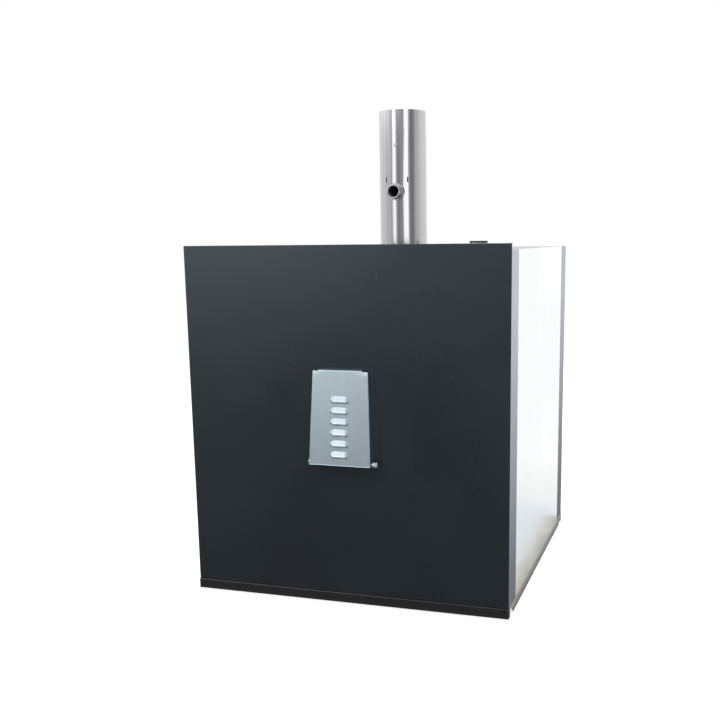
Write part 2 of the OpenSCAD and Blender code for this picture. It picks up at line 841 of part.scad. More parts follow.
module air_hood() color(satin_steel)
  difference() {
    union() {
      difference() {
        intersection() {
          along_y(y_rear - 2 * hood_bottom_d, y_rear) hood_outline(0);
          along_x(-body_w, body_w) hood_profile(0);
        }
        intersection() {
          along_y(y_rear - 2 * hood_bottom_d, y_rear) hood_outline(hood_t);
          along_x(-body_w, body_w) union() {
            hood_profile(hood_t);
            translate([0, -1]) hood_profile(hood_t);
            translate([2, 0]) hood_profile(hood_t);
          }
        }
      }
      louvre_places() louvre(0, hood_t / 2);
    }
    louvre_places() louvre(hood_t * 0.8, 2 * hood_t);
    both_sides()
      block([hood_tab_w / 2, y_rear - hood_bottom_d, z_hood_top - hood_notch],
        [body_w, y_rear, z_hood_top + 1]);
    rod_x(hood_pin_dia / 2 + running_gap, -body_w, body_w, y_pin, z_pin);
  }

module hood_pin() color(stainless) {
  rod_x(hood_pin_dia / 2, -pin_head_x, pin_head_x + knob_l, y_pin, z_pin);
  rod_x(hood_pin_dia * 0.9, -pin_head_x - pin_head_l, -pin_head_x, y_pin, z_pin);
}

module clamp_knob() color(stainless)
  difference() {
    union() {
      rod_x(knob_dia / 3, pin_head_x, pin_head_x + knob_neck + 1, y_pin, z_pin);
      rod_x(knob_dia / 2, pin_head_x + knob_neck, pin_head_x + knob_l, y_pin, z_pin);
    }
    rod_x(hood_pin_dia / 2 + running_gap, 0, body_w, y_pin, z_pin);
    translate([pin_head_x + knob_neck, y_pin, z_pin])
      for (a = [0:30:330])
        rotate([a, 0, 0])
          translate([-1, 0, knob_dia / 2 + flute_r / 2])
            rotate([0, 90, 0]) cylinder(r = flute_r, h = knob_l + 2, $fn = 24);
  }

// Flue

module flue_pipe() color(stainless)
  difference() {
    union() {
      rod_z(flue_r, z_flue_foot, z_flue_top - spigot_l, 0, flue_y);
      rod_z(flue_r - spigot_step, z_flue_foot, z_flue_top, 0, flue_y);
    }
    rod_z(flue_bore_r, z_flue_foot - 1, z_flue_top + 1, 0, flue_y);
    rod_y(socket_dia / 2 + fit_gap, flue_y - 2 * flue_r, flue_y, 0, z_socket);
    rod_y(spindle_dia / 2 + running_gap, flue_y - 2 * flue_r, flue_y + 2 * flue_r, 0, z_damper);
    for (a = [-slot_angle, slot_angle])
      translate([0, flue_y, z_skirt + slot_z])
        rotate([0, 0, a]) translate([0, -flue_r, 0]) cube([slot_w, 10 * flue_t, slot_h], center = true);
  }

module roof_collar() color(stainless)
  difference() {
    union() {
      rod_z(collar_dia / 2, z_roof, z_roof + sheet, 0, flue_y);
      rod_z(flue_r + fit_gap + sheet, z_roof, z_roof + collar_h, 0, flue_y);
    }
    rod_z(flue_r + fit_gap, z_roof - 1, z_roof + collar_h + 1, 0, flue_y);
    collar_screw_places() cylinder(r = screw_r + running_gap, h = 8 * sheet, center = true);
  }

module measuring_socket() color(stainless)
  difference() {
    rod_y(socket_dia / 2, flue_y - socket_reach, flue_y - flue_bore_r + socket_end, 0, z_socket);
    rod_y(socket_bore / 2, flue_y - socket_reach - 1, flue_y, 0, z_socket);
  }

// The ring is cut to the round of the pipe
module saddle_ring() color(stainless)
  difference() {
    rod_y(saddle_dia / 2, flue_y - flue_r - saddle_t, flue_y - flue_r / 2, 0, z_socket);
    rod_z(flue_r, z_socket - saddle_dia, z_socket + saddle_dia, 0, flue_y);
    rod_y(socket_dia / 2 + running_gap, flue_y - 2 * flue_r, flue_y, 0, z_socket);
  }

module damper_spindle() color(stainless) {
  rod_y(spindle_dia / 2, y_nub, y_handle + 2 * handle_t, 0, z_damper);
  rod_y(spindle_dia * 0.7, y_nub - spindle_dia / 2, y_nub, 0, z_damper);
}

module damper_plate() color(dark_steel)
  rod_x(flue_bore_r - damper_gap, spindle_dia / 2, spindle_dia / 2 + damper_t, flue_y, z_damper);

module damper_handle() color(black_grip) {
  y1 = y_handle + handle_t;
  z1 = z_damper - handle_l;
  difference() {
    union() {
      along_y(y_handle, y1) round_bar([0, z_damper], [0, z1], handle_w);
      rod_y(handle_w / 3, y1 - 1, y1 + handle_stem_l, 0, z1);
      translate([0, y1 + handle_stem_l + handle_knob_dia / 2 - 2, z1]) sphere(d = handle_knob_dia);
    }
    rod_y(spindle_dia / 2 + running_gap, 0, body_d, 0, z_damper);
  }
}

// Steam vent

module steam_pipe() color(stainless)
  difference() {
    union() {
      rod_z(steam_dia / 2, z_steam_foot, z_steam_top, steam_x, steam_y);
      rod_z(steam_dia / 2 + steam_flange_w, z_roof, z_roof + sheet, steam_x, steam_y);
      rod_z(cap_dia / 2 - 1, z_steam_top - steam_rim_h, z_steam_top, steam_x, steam_y);
    }
    rod_z(steam_dia / 2 - steam_t, z_spring, z_steam_top + 1, steam_x, steam_y);
  }

module steam_cap() color(black_grip) {
  rod_z(cap_dia / 2, z_steam_top, z_steam_top + cap_t, steam_x, steam_y);
  rod_z(steam_dia / 2 - steam_t - side_gap, z_steam_top - plug_l, z_steam_top, steam_x, steam_y);
}

// Door

// Space that the sleeve of the door frame takes in the wall
module sleeve_space()
  along_y(chamber_hd - 1, y_front + 1)
    translate([-mouth_w / 2 - sleeve_t - fit_gap, z_mouth - sleeve_t - fit_gap])
      square([mouth_w + 2 * (sleeve_t + fit_gap), mouth_h + 2 * (sleeve_t + fit_gap)]);

module door_frame() color(dark_steel)
  difference() {
    union() {
      along_y(y_front, y_frame)
        translate([-mouth_w / 2 - frame_rim, z_mouth - frame_rim_z])
          square([mouth_w + 2 * frame_rim, mouth_h + 2 * frame_rim_z]);
      along_y(chamber_hd, y_front)
        translate([-mouth_w / 2 - sleeve_t, z_mouth - sleeve_t])
          square([mouth_w + 2 * sleeve_t, mouth_h + 2 * sleeve_t]);
      for (z = hinge_rows) {
        rod_z(barrel_r, z, z + barrel_h, hinge_x, hinge_y);
        block([hinge_x - leaf_hw, y_frame - 1, z], [hinge_x + leaf_hw, hinge_y, z + barrel_h]);
      }
    }
    along_y(0, body_d) translate([-mouth_w / 2, z_mouth]) square([mouth_w, mouth_h]);
    for (z = hinge_rows) rod_z(hinge_pin_dia / 2 + running_gap, z - 1, z + barrel_h + 1, hinge_x, hinge_y);
  }

module hinge_pins() color(stainless)
  for (z = hinge_rows) {
    rod_z(hinge_pin_dia / 2, z, z + 2 * barrel_h, hinge_x, hinge_y);
    rod_z(barrel_r * 0.8, z - barrel_r * 0.3, z, hinge_x, hinge_y);
  }

module door_outline(inset)
  translate([-door_hw + inset, z_door - door_hh + inset])
    square([2 * (door_hw - inset), 2 * (door_hh - inset)]);

// The air ports through the door
module port_row()
  for (i = [0:port_count - 1])
    translate([(i - (port_count - 1) / 2) * port_pitch - port_w / 2, z_port]) square([port_w, port_h]);

module door_shell() color(satin_steel)
  difference() {
    union() {
      difference() {
        along_y(y_liner, y_door) door_outline(0);
        along_y(y_liner - 1, y_door - sheet) door_outline(sheet);
      }
      for (z = hinge_rows) {
        z0 = z + barrel_h + fit_gap;
        rod_z(barrel_r, z0, z0 + barrel_h, hinge_x, hinge_y);
        block([door_hw - 1, hinge_y - leaf_hw, z0], [hinge_x, hinge_y + leaf_hw, z0 + barrel_h]);
      }
    }
    for (z = hinge_rows) rod_z(hinge_pin_dia / 2 + running_gap, z, z + 3 * barrel_h, hinge_x, hinge_y);
    along_y(y_liner, y_door + 1) port_row();
    rod_y(probe_r + running_gap, y_liner, y_door + 1, 0, thermo_z);
    rod_y(latch_pin_dia / 2 + running_gap, y_liner, y_door + 1, latch_x, z_door);
  }

module door_insulation() color(mineral_wool)
  difference() {
    along_y(y_liner + sheet, y_door - sheet) door_outline(sheet + fit_gap);
    along_y(y_liner, y_door) port_row();
    rod_y(probe_r + running_gap, y_liner, y_door, 0, thermo_z);
    rod_y(latch_pin_dia / 2 + 2, y_door - pivot_l - 2, y_door, latch_x, z_door);
  }

module door_liner() color(satin_steel)
  difference() {
    along_y(y_liner, y_liner + sheet) door_outline(sheet + fit_gap);
    along_y(y_liner - 1, y_door) port_row();
    rod_y(probe_r + running_gap, y_liner - 1, y_door, 0, thermo_z);
  }

module door_seal() color(mineral_wool) {
  x1 = mouth_w / 2 + seal_w / 2 + seal_w;
  z1 = mouth_h / 2 + seal_w / 2 + seal_w;
  along_y(y_frame + fit_gap, y_liner)
    translate([0, z_door])
      difference() {
        square([2 * x1, 2 * z1], center = true);
        square([2 * (x1 - seal_w), 2 * (z1 - seal_w)], center = true);
      }
}

// Latch

module latch_pivot() color(stainless) {
  rod_y(lever_w * 0.55, y_door, y_lever - side_gap, latch_x, z_door);
  rod_y(latch_pin_dia / 2, y_door - pivot_l, y_lever_top, latch_x, z_door);
  rod_y(lever_w * 0.4, y_lever_top, y_lever_top + pivot_head_l, latch_x, z_door);
}

// Turns a child from the latched place of the lever to its free one
module lever_turn()
  translate([latch_x, 0, z_door]) rotate([0, lever_angle, 0]) translate([-latch_x, 0, -z_door]) children();

module latch_lever() color(dark_steel)
  lever_turn()
    difference() {
      along_y(y_lever, y_lever + lever_t)
        round_bar([lever_tip_x + lever_w / 2, z_door], [latch_x + grip_arm, z_door], lever_w);
      rod_y(latch_pin_dia / 2 + running_gap, y_lever - 1, y_lever + lever_t + 1, latch_x, z_door);
    }

module latch_grip() color(black_grip)
  lever_turn()
    translate([latch_x + grip_arm, y_lever + lever_t, z_door])
      rotate([-90, 0, 0])
        rotate_extrude()
          polygon([[0, 0], [grip_r * 0.6, 0], [grip_r * 0.6, grip_l * 0.06], [grip_r * 0.76, grip_l * 0.35],
            [grip_r, grip_l * 0.8], [grip_r * 0.88, grip_l * 0.94], [grip_r * 0.6, grip_l], [0, grip_l]]);

module latch_keeper() color(dark_steel) {
  x0 = -(mouth_w / 2 + frame_rim);
  z0 = z_door - lever_w / 2 - keeper_gap;
  block([x0, y_frame, z0 - keeper_w], [x0 + keeper_w, y_lever_top + keeper_t, z0]);
  block([x0, y_lever_top, z0 - keeper_w], [x0 + keeper_w, y_lever_top + keeper_t, z_door + lever_w * 0.3]);
}

// Air slide

module slide_guides() color(satin_steel)
  for (s = [-1, 1])
    translate([0, 0, z_slide])
      mirror([0, 0, s < 0 ? 1 : 0]) {
        w = slide_w / 2 + port_w + guide_w;
        z1 = slide_h / 2 + guide_w;
        block([-w, y_door, slide_h / 2 + fit_gap], [w, y_guide + sheet, z1]);
        block([-w, y_guide, slide_h / 2 - guide_lap], [w, y_guide + sheet, z1]);
      }

module air_slide() color(satin_steel) {
  y0 = y_door + fit_gap;
  y1 = y0 + slide_t;
  along_y(y0, y1)
    difference() {
      translate([-slide_w / 2, z_slide - slide_h / 2]) square([slide_w, slide_h]);
      translate([port_w, 0]) port_row();
    }
  rod_y(slide_knob_dia / 4, y1 - 0.5, y1 + slide_knob_l - 1, -slide_knob_x, z_slide);
  rod_y(slide_knob_dia / 2, y1 + slide_knob_l * 0.4, y1 + slide_knob_l, -slide_knob_x, z_slide);
}

// Thermometer

module thermometer_case() color(stainless) {
  difference() {
    rod_y(thermo_r, y_door, y_door + thermo_d, 0, thermo_z);
    rod_y(thermo_r - bezel, y_dial, y_door + thermo_d + 1, 0, thermo_z);
  }
  rod_y(probe_r, y_liner - probe_l, y_door + dial_t, 0, thermo_z);
}

module thermometer_dial() color("white") {
  rod_y(dial_r, y_dial, y_dial + dial_t, 0, thermo_z);
  rod_y(pointer_pin_r, y_dial, y_glass - dial_t, 0, thermo_z);
}

// The needle of a cold oven points down and to the left, as seen from the door side
module thermometer_pointer() color("red")
  difference() {
    union() {
      rod_y(3 * pointer_pin_r, y_pointer - pointer_t / 2, y_pointer + pointer_t * 1.5, 0, thermo_z);
      along_y(y_pointer, y_pointer + pointer_t)
        translate([0, thermo_z])
          rotate(-45)
            polygon([[-pointer_tail, -pointer_hw], [-pointer_tail, pointer_hw],
              [dial_r * 0.8, pointer_hw / 4], [dial_r * 0.8, -pointer_hw / 4]]);
    }
    rod_y(pointer_pin_r + running_gap, y_door, y_door + thermo_d, 0, thermo_z);
  }

module thermometer_glass() color("lightblue")
  rod_y(dial_r, y_glass, y_glass + glass_t, 0, thermo_z);

base_frame();
floor_pan();
floor_insulation();
hearth_bed();
hearth_tiles();
side_walls();
rear_wall();
front_wall();
vault_arches();
flue_arch();
throat_block();
side_insulation();
rear_insulation();
front_insulation();
roof_insulation();
corner_posts();
roof_frame();
left_panel();
right_panel();
rear_panel();
front_panel();
roof_panel();
rear_plinth();
front_plinth();
side_skirts();
corner_shoes();
casing_screws();
air_duct();
ember_screen();
hood_bracket();
air_hood();
hood_pin();
clamp_knob();
flue_pipe();
roof_collar();
measuring_socket();
saddle_ring();
damper_spindle();
damper_plate();
damper_handle();
steam_pipe();
steam_cap();
door_frame();
hinge_pins();
door_shell();
door_insulation();
door_liner();
door_seal();
latch_keeper();
latch_pivot();
latch_lever();
latch_grip();
slide_guides();
air_slide();
thermometer_case();
thermometer_dial();
thermometer_pointer();
thermometer_glass();
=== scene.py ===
# The looks of a wood-fired bake oven: its sheet steel casing, its louvred air hood, its flue,
# its door and its fireclay chamber.
import json
import math

import bmesh
import bpy
from mathutils import Matrix, Quaternion, Vector


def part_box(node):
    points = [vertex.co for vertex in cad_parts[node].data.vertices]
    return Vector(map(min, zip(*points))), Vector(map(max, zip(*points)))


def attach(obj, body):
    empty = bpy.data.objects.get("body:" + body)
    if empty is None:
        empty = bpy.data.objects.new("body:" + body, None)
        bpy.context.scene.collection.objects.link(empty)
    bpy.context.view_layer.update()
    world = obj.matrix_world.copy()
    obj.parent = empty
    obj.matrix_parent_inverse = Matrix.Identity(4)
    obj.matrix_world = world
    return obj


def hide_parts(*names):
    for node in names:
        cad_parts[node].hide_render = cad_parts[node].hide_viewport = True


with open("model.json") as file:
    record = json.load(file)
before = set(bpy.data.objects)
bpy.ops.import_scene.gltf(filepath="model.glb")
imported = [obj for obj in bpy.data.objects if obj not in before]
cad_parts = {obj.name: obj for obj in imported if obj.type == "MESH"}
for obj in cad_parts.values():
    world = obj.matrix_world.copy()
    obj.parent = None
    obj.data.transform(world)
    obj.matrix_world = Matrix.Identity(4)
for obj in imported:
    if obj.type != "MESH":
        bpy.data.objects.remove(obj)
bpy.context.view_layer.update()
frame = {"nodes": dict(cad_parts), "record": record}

scene = bpy.context.scene

# The camera stands where the photograph was taken: right of the middle, as high as the top
# of the casing and looking a little down, with the frame shifted as the photograph is cropped.
camera_place = (0.9373, -2.8990, 1.0152)
camera_yaw = 0.2985
camera_pitch = 0.1825
camera_roll = -0.0101
camera_data = bpy.data.cameras.new("camera")
camera_data.sensor_width = 36
camera_data.lens = 47.98
camera_data.shift_x = -0.0702
camera_data.shift_y = 0.0792
camera = bpy.data.objects.new("camera", camera_data)
camera.location = camera_place
looking = Vector((-math.sin(camera_yaw) * math.cos(camera_pitch),
                  math.cos(camera_yaw) * math.cos(camera_pitch), -math.sin(camera_pitch)))
camera.rotation_mode = "QUATERNION"
camera.rotation_quaternion = looking.to_track_quat("-Z", "Y") @ Quaternion((0, 0, 1), camera_roll)
scene.collection.objects.link(camera)
scene.camera = camera
scene.view_settings.view_transform = "Standard"


# The studio is a white room. The camera sees plain white, and polished steel sees grey walls
# with two bright windows, brighter above on the left and dimmer above on the right. Bearings
# are degrees from the camera's side, and 90 is to its right.
def linear(code):
    """The linear colour of an sRGB hex value."""
    parts = [int(code[i:i + 2], 16) / 255 for i in (1, 3, 5)]
    return [c / 12.92 if c <= 0.04045 else ((c + 0.055) / 1.055) ** 2.4 for c in parts] + [1.0]


def result_of(node):
    """The output that a node has switched on: a mix has one for numbers and one for colours."""
    return next(socket for socket in node.outputs if socket.enabled)


def add_node(tree, kind, inputs=None, feeds=None, **settings):
    """Adds one shader node with its settings. An input takes a value, a socket or another node,
    and the node's result may feed a socket in turn."""
    node = tree.nodes.new("ShaderNode" + kind)
    for name, value in settings.items():
        setattr(node, name, value)
    for socket, value in (inputs or {}).items():
        if isinstance(value, bpy.types.Node):
            value = result_of(value)
        if isinstance(value, bpy.types.NodeSocket):
            tree.links.new(value, node.inputs[socket])
        else:
            node.inputs[socket].default_value = value
    if feeds:
        tree.links.new(result_of(node), feeds)
    return node


def set_ramp(node, stops):
    """Gives a colour ramp its stops, each a place and a linear colour or a grey."""
    ramp = node.color_ramp
    while len(ramp.elements) < len(stops):
        ramp.elements.new(1.0)
    for element, (place, value) in zip(ramp.elements, stops):
        element.position = place
        element.color = value if isinstance(value, list) else [value, value, value, 1.0]


def set_bearings(node, stops):
    """Gives a ramp its greys by their bearings."""
    set_ramp(node, [((angle + 180) / 360, grey) for angle, grey in stops])


room = bpy.data.worlds.new("studio")
scene.world = room
room.use_nodes = True
tree = room.node_tree
tree.nodes.clear()
path = add_node(tree, "LightPath")
way = add_node(tree, "SeparateXYZ", {0: add_node(tree, "TexCoord").outputs["Generated"]})
back = add_node(tree, "Math", {0: way.outputs["Y"], 1: -1.0}, operation="MULTIPLY")
bearing = add_node(tree, "Math", {0: way.outputs["X"], 1: back}, operation="ARCTAN2")
turn = add_node(tree, "MapRange", {"Value": bearing, "From Min": -math.pi, "From Max": math.pi})
walls = add_node(tree, "ValToRGB", {"Fac": turn})
set_bearings(walls, [(-180, 1.1), (-140, 0.9), (-109, 0.8), (-75, 0.7), (-50, 0.54), (-38, 0.5),
                     (-35, 1.4), (-23, 1.4), (-17, 0.34), (-8, 0.26), (8, 0.36), (19, 0.42), (24, 1.5),
                     (40, 1.5), (46, 0.4), (58, 0.18), (70, 0.3), (80, 0.55), (110, 0.78), (144, 0.85),
                     (174, 1.1)])
height = add_node(tree, "MapRange", {"Value": way.outputs["Z"], "From Max": 0.7, "To Min": 1.0,
                                     "To Max": 1.32})
above = add_node(tree, "ValToRGB", {"Fac": way.outputs["Z"]})
set_ramp(above, [(0.11, 0.0), (0.22, 1.0), (0.30, 1.0), (0.50, 0.1)])
ahead = add_node(tree, "ValToRGB", {"Fac": turn})
set_bearings(ahead, [(-125, 0), (-105, 2.8), (-60, 2.8), (-45, 1.0), (-25, 1.4), (-18, 2.4), (-8, 6.0),
                     (0, 4.0), (12, 0)])
over_windows = add_node(tree, "MapRange", {"Value": way.outputs["Z"], "From Min": 0.14, "From Max": 0.22,
                                           "To Min": 1.0, "To Max": 0.55})
to_right = add_node(tree, "ValToRGB", {"Fac": turn})
set_bearings(to_right, [(4, 0), (14, 1), (85, 1), (100, 0)])
dimmed = add_node(tree, "Mix", {"Factor": to_right, "A": 1.0, "B": over_windows})
height = add_node(tree, "Math", {0: height, 1: dimmed}, operation="MULTIPLY")
boost = add_node(tree, "Math", {0: above, 1: ahead}, operation="MULTIPLY")
height = add_node(tree, "Math", {0: height, 1: boost}, operation="ADD")
reflected = add_node(tree, "Background", {"Color": walls, "Strength": height})
lighting = add_node(tree, "Background", {"Color": linear("#f4f7fb"), "Strength": 0.45})
white_room = add_node(tree, "Background", {"Color": linear("#ffffff"), "Strength": 1.0})
seen = add_node(tree, "Math", {0: path.outputs["Is Camera Ray"], 1: path.outputs["Is Transmission Ray"]},
                operation="MAXIMUM")
mixed = add_node(tree, "MixShader", {0: path.outputs["Is Glossy Ray"], 1: lighting, 2: reflected})
mixed = add_node(tree, "MixShader", {0: seen, 1: mixed, 2: white_room})
add_node(tree, "OutputWorld", {0: mixed})

# The floor is a pale disc. The camera sees it white under the oven's soft shadow. Mirrored in
# steel it shows painted reflections: brown painted shade and a little moss green close to the
# casing, dimmer painted shade beside the oven, and dark painted shade before the rear panel.
floor_radius = 14
floor_drop = 0.0002
casing_half_w = 0.465
casing_half_d = 0.482


def object_pattern(tree, kind, mark_mm, stretch=(1, 1, 1), centre=(0, 0, 0), **inputs):
    """A pattern in an object's own coordinates. Its marks have a size in millimetres, and a
    stretch below 1 draws them out along an axis."""
    spot = add_node(tree, "TexCoord")
    moved = add_node(tree, "VectorMath", {0: spot.outputs["Object"], 1: centre}, operation="SUBTRACT")
    drawn = add_node(tree, "Mapping", {"Vector": moved, "Scale": stretch})
    return add_node(tree, kind, {"Vector": drawn, "Scale": 1000 / mark_mm, **inputs})


bm = bmesh.new()
bmesh.ops.create_circle(bm, cap_ends=True, segments=64, radius=floor_radius,
                        matrix=Matrix.Translation((0, 0, -floor_drop)))
floor_mesh = bpy.data.meshes.new("floor")
bm.to_mesh(floor_mesh)
bm.free()
floor = bpy.data.objects.new("floor", floor_mesh)
scene.collection.objects.link(floor)
pale_floor = bpy.data.materials.new("pale_floor")
pale_floor.use_nodes = True
tree = pale_floor.node_tree
tree.nodes.clear()
path = add_node(tree, "LightPath")
side = add_node(tree, "SeparateXYZ", {0: add_node(tree, "TexCoord").outputs["Object"]})
outside = []
for axis, half in (("X", casing_half_w), ("Y", casing_half_d)):
    far = add_node(tree, "Math", {0: side.outputs[axis]}, operation="ABSOLUTE")
    outside.append(add_node(tree, "Math", {0: far, 1: half}, operation="SUBTRACT"))
distance = add_node(tree, "Math", {0: outside[0], 1: outside[1]}, operation="MAXIMUM")
uneven = object_pattern(tree, "TexNoise", 62.5, (1, 0.3, 1), Detail=2.0)
uneven = add_node(tree, "MapRange", {"Value": uneven, "To Min": -0.035, "To Max": 0.035})
reach = add_node(tree, "Math", {0: distance, 1: uneven}, operation="ADD")
reach = add_node(tree, "MapRange", {"Value": reach, "From Max": 0.5})
# Painted contact shade: the mirrored floor is brown close to the casing and white further out.
painted_contact_shade = add_node(tree, "ValToRGB", {"Fac": reach})
set_ramp(painted_contact_shade, [(0.0, linear("#b1ada6")), (0.04, linear("#d1cac0")), (0.08, linear("#e2ddd4")),
                (0.12, linear("#e6e7e6")), (0.17, linear("#eff5f9")), (0.42, linear("#f8fdff")),
                (0.65, linear("#ffffff"))])
# Painted shade: the mirrored floor is dimmer beside the oven and dark before the rear panel.
beside = add_node(tree, "MapRange", {"Value": side.outputs["Y"], "From Min": 0.4, "From Max": 1.5,
                                     "To Min": 0.88, "To Max": 1.05})
rear = add_node(tree, "MapRange", {"Value": side.outputs["Y"], "From Min": -0.42, "From Max": -0.52})
left = add_node(tree, "MapRange", {"Value": side.outputs["X"], "From Min": 1.2, "From Max": 0.7})
rear = add_node(tree, "Math", {0: rear, 1: left}, operation="MULTIPLY")
moss = object_pattern(tree, "TexNoise", 91, (1, 0.3, 1), Detail=3.0)
moss = add_node(tree, "MapRange", {"Value": moss, "From Min": 0.5, "From Max": 0.62, "To Max": 0.7})
near = add_node(tree, "MapRange", {"Value": reach, "From Min": 0.16, "From Max": 0.08})
moss = add_node(tree, "Math", {0: moss, 1: near}, operation="MULTIPLY")
shade = add_node(tree, "Mix", {"Factor": moss, "A": painted_contact_shade, "B": linear("#bfc8bf")}, data_type="RGBA")
shade = add_node(tree, "Mix", {"Factor": rear, "A": shade, "B": linear("#656565")}, data_type="RGBA")
# The painted reflection that polished steel sees in the floor.
mirrored = add_node(tree, "Emission", {"Color": shade, "Strength": beside})
lit = add_node(tree, "BsdfDiffuse", {"Color": linear("#c4c4c4")})
glow = add_node(tree, "Emission", {"Color": linear("#ffffff"), "Strength": 0.8})
plain = add_node(tree, "AddShader", {0: lit, 1: glow})
mixed = add_node(tree, "MixShader", {0: path.outputs["Is Camera Ray"], 1: lit, 2: plain})
mixed = add_node(tree, "MixShader", {0: path.outputs["Is Glossy Ray"], 1: mixed, 2: mirrored})
add_node(tree, "OutputMaterial", {0: mixed})
floor_mesh.materials.append(pale_floor)


# Four square softboxes round the oven give it soft, even light. Polished steel doesn't mirror
# them, only the walls and the floor.
def softbox(name, place, aim, size, watts):
    """A square studio lamp that points from its place to a point."""
    data = bpy.data.lights.new(name, "AREA")
    data.size = size
    data.energy = watts
    lamp = bpy.data.objects.new(name, data)
    lamp.location = place
    lamp.rotation_mode = "QUATERNION"
    lamp.rotation_quaternion = (Vector(aim) - Vector(place)).to_track_quat("-Z", "Y")
    lamp.visible_glossy = False
    scene.collection.objects.link(lamp)


softbox("lamp_left", (-2.6, -3.0, 3.2), (0, 0, 0.6), 2.4, 90)
softbox("lamp_right", (3.0, -2.0, 3.4), (0, 0, 0.6), 2.4, 70)
softbox("lamp_front", (-0.4, -2.2, 3.0), (0, -0.48, 1.0), 2.0, 20)
softbox("lamp_behind", (0.5, 3.6, 3.2), (0, 0, 0.6), 2.6, 90)

# The base is a frame of steel channel, welded and sprayed black, and so are the folded strips
# round its foot: a plinth under each end, a skirt under each side and a slanted shoe under
# each corner. The paint is glossy, and the upper part of the side strips is painted light grey
# as a painted reflection.
same_place = 1e-5
weld_gap = 1e-6
flat_angle = math.radians(0.6)
sharp_angle = math.radians(35)
body_of = {node: body for body, held in frame["record"]["behaviour"]["bodies"].items() for node in held}


def new_finish(name, colour, metallic, roughness, **sockets):
    """A material with its even values on the shader, and the nodes for its pattern to come."""
    finish = bpy.data.materials.new(name)
    finish.use_nodes = True
    shader = finish.node_tree.nodes["Principled BSDF"]
    shader.inputs["Base Color"].default_value = linear(colour)
    shader.inputs["Metallic"].default_value = metallic
    shader.inputs["Roughness"].default_value = roughness
    for socket, value in sockets.items():
        shader.inputs[socket.replace("_", " ")].default_value = value
    return finish, finish.node_tree, shader


def vary(tree, shader, pattern, dark, light, rough, reach=(0.3, 0.7)):
    """Colour between two tones and roughness between two values, both led by one pattern."""
    tones = add_node(tree, "ValToRGB", {"Fac": pattern}, shader.inputs["Base Color"])
    set_ramp(tones, [(reach[0], linear(dark)), (reach[1], linear(light))])
    add_node(tree, "MapRange", {"Value": pattern, "From Min": reach[0], "From Max": reach[1],
                                "To Min": rough[0], "To Max": rough[1]}, shader.inputs["Roughness"])
    return tones


def merged_copy(node):
    """A CAD node's mesh with its triangles joined up to the faces that they came from."""
    bm = bmesh.new()
    bm.from_mesh(frame["nodes"][node].data)
    bmesh.ops.remove_doubles(bm, verts=bm.verts, dist=weld_gap)
    bmesh.ops.dissolve_limit(bm, angle_limit=flat_angle, verts=bm.verts, edges=bm.edges)
    return bm


def ease_edges(bm, width, rows=2, chosen=lambda edge: True):
    """Rounds the sharp edges, as a folding press, a file or a coat of paint does."""
    sharp = [edge for edge in bm.edges if edge.is_manifold and chosen(edge)
             and edge.calc_face_angle() > sharp_angle]
    bmesh.ops.bevel(bm, geom=sharp, offset=width, segments=rows, profile=0.5, affect="EDGES", material=-1,
                    clamp_overlap=True)
    bmesh.ops.dissolve_degenerate(bm, edges=bm.edges, dist=2 * weld_gap)


def set_piece(bm, name, finishes, *stands_for, body=None, slot=None, smooth_angle=40):
    """Makes an object of a mesh, gives it its finishes, hangs it on its body and hides its CAD nodes."""
    mesh = bpy.data.meshes.new(name)
    bm.to_mesh(mesh)
    bm.free()
    mesh.shade_smooth()
    mesh.set_sharp_from_angle(angle=math.radians(smooth_angle))
    for finish in finishes if isinstance(finishes, list) else [finishes]:
        mesh.materials.append(finish)
    piece = bpy.data.objects.new(name, mesh)
    scene.collection.objects.link(piece)
    even = piece.modifiers.new("even_shading", "WEIGHTED_NORMAL")
    even.keep_sharp = True
    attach(piece, body or body_of[stands_for[0]])
    if stands_for:
        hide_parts(*stands_for)
    return piece


def eased_piece(node, finish, width, rows=2):
    """A CAD node in its finish, with its edges rounded."""
    bm = merged_copy(node)
    ease_edges(bm, width, rows)
    set_piece(bm, node + "_part", finish, node)


black_paint, tree, shader = new_finish("black_paint", "#252526", 0.0, 0.2)
dust = object_pattern(tree, "TexNoise", 33.3, Detail=5.0, Roughness=0.7)
vary(tree, shader, dust, "#222223", "#292929", (0.15, 0.26))
# The grit is a few tenths of a millimetre wide, and is drawn at 2 mm so that it shows.
grit = object_pattern(tree, "TexNoise", 2.22, Detail=2.0)
add_node(tree, "Bump", {"Height": grit, "Distance": 0.00002}, shader.inputs["Normal"])
for node, width in (("base_frame", 0.0012), ("roof_frame", 0.0009)):
    eased_piece(node, black_paint, width, 3)
strip_fold = 0.0025
strip_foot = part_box("side_skirts")[0].z
# Where the painted reflection on the side strips begins and where it is full.
sheen_start = strip_foot + 0.008
sheen_full = strip_foot + 0.019
sheen_painted_black, tree, shader = new_finish("black_paint_with_painted_sheen", "#3c3c3c", 0.0, 0.12, Specular_IOR_Level=0.8)
dust = object_pattern(tree, "TexNoise", 33.3, Detail=5.0, Roughness=0.7)
base_tone = vary(tree, shader, dust, "#1c1c1d", "#232323", (0.1, 0.16))
place = add_node(tree, "SeparateXYZ", {0: add_node(tree, "TexCoord").outputs["Object"]})
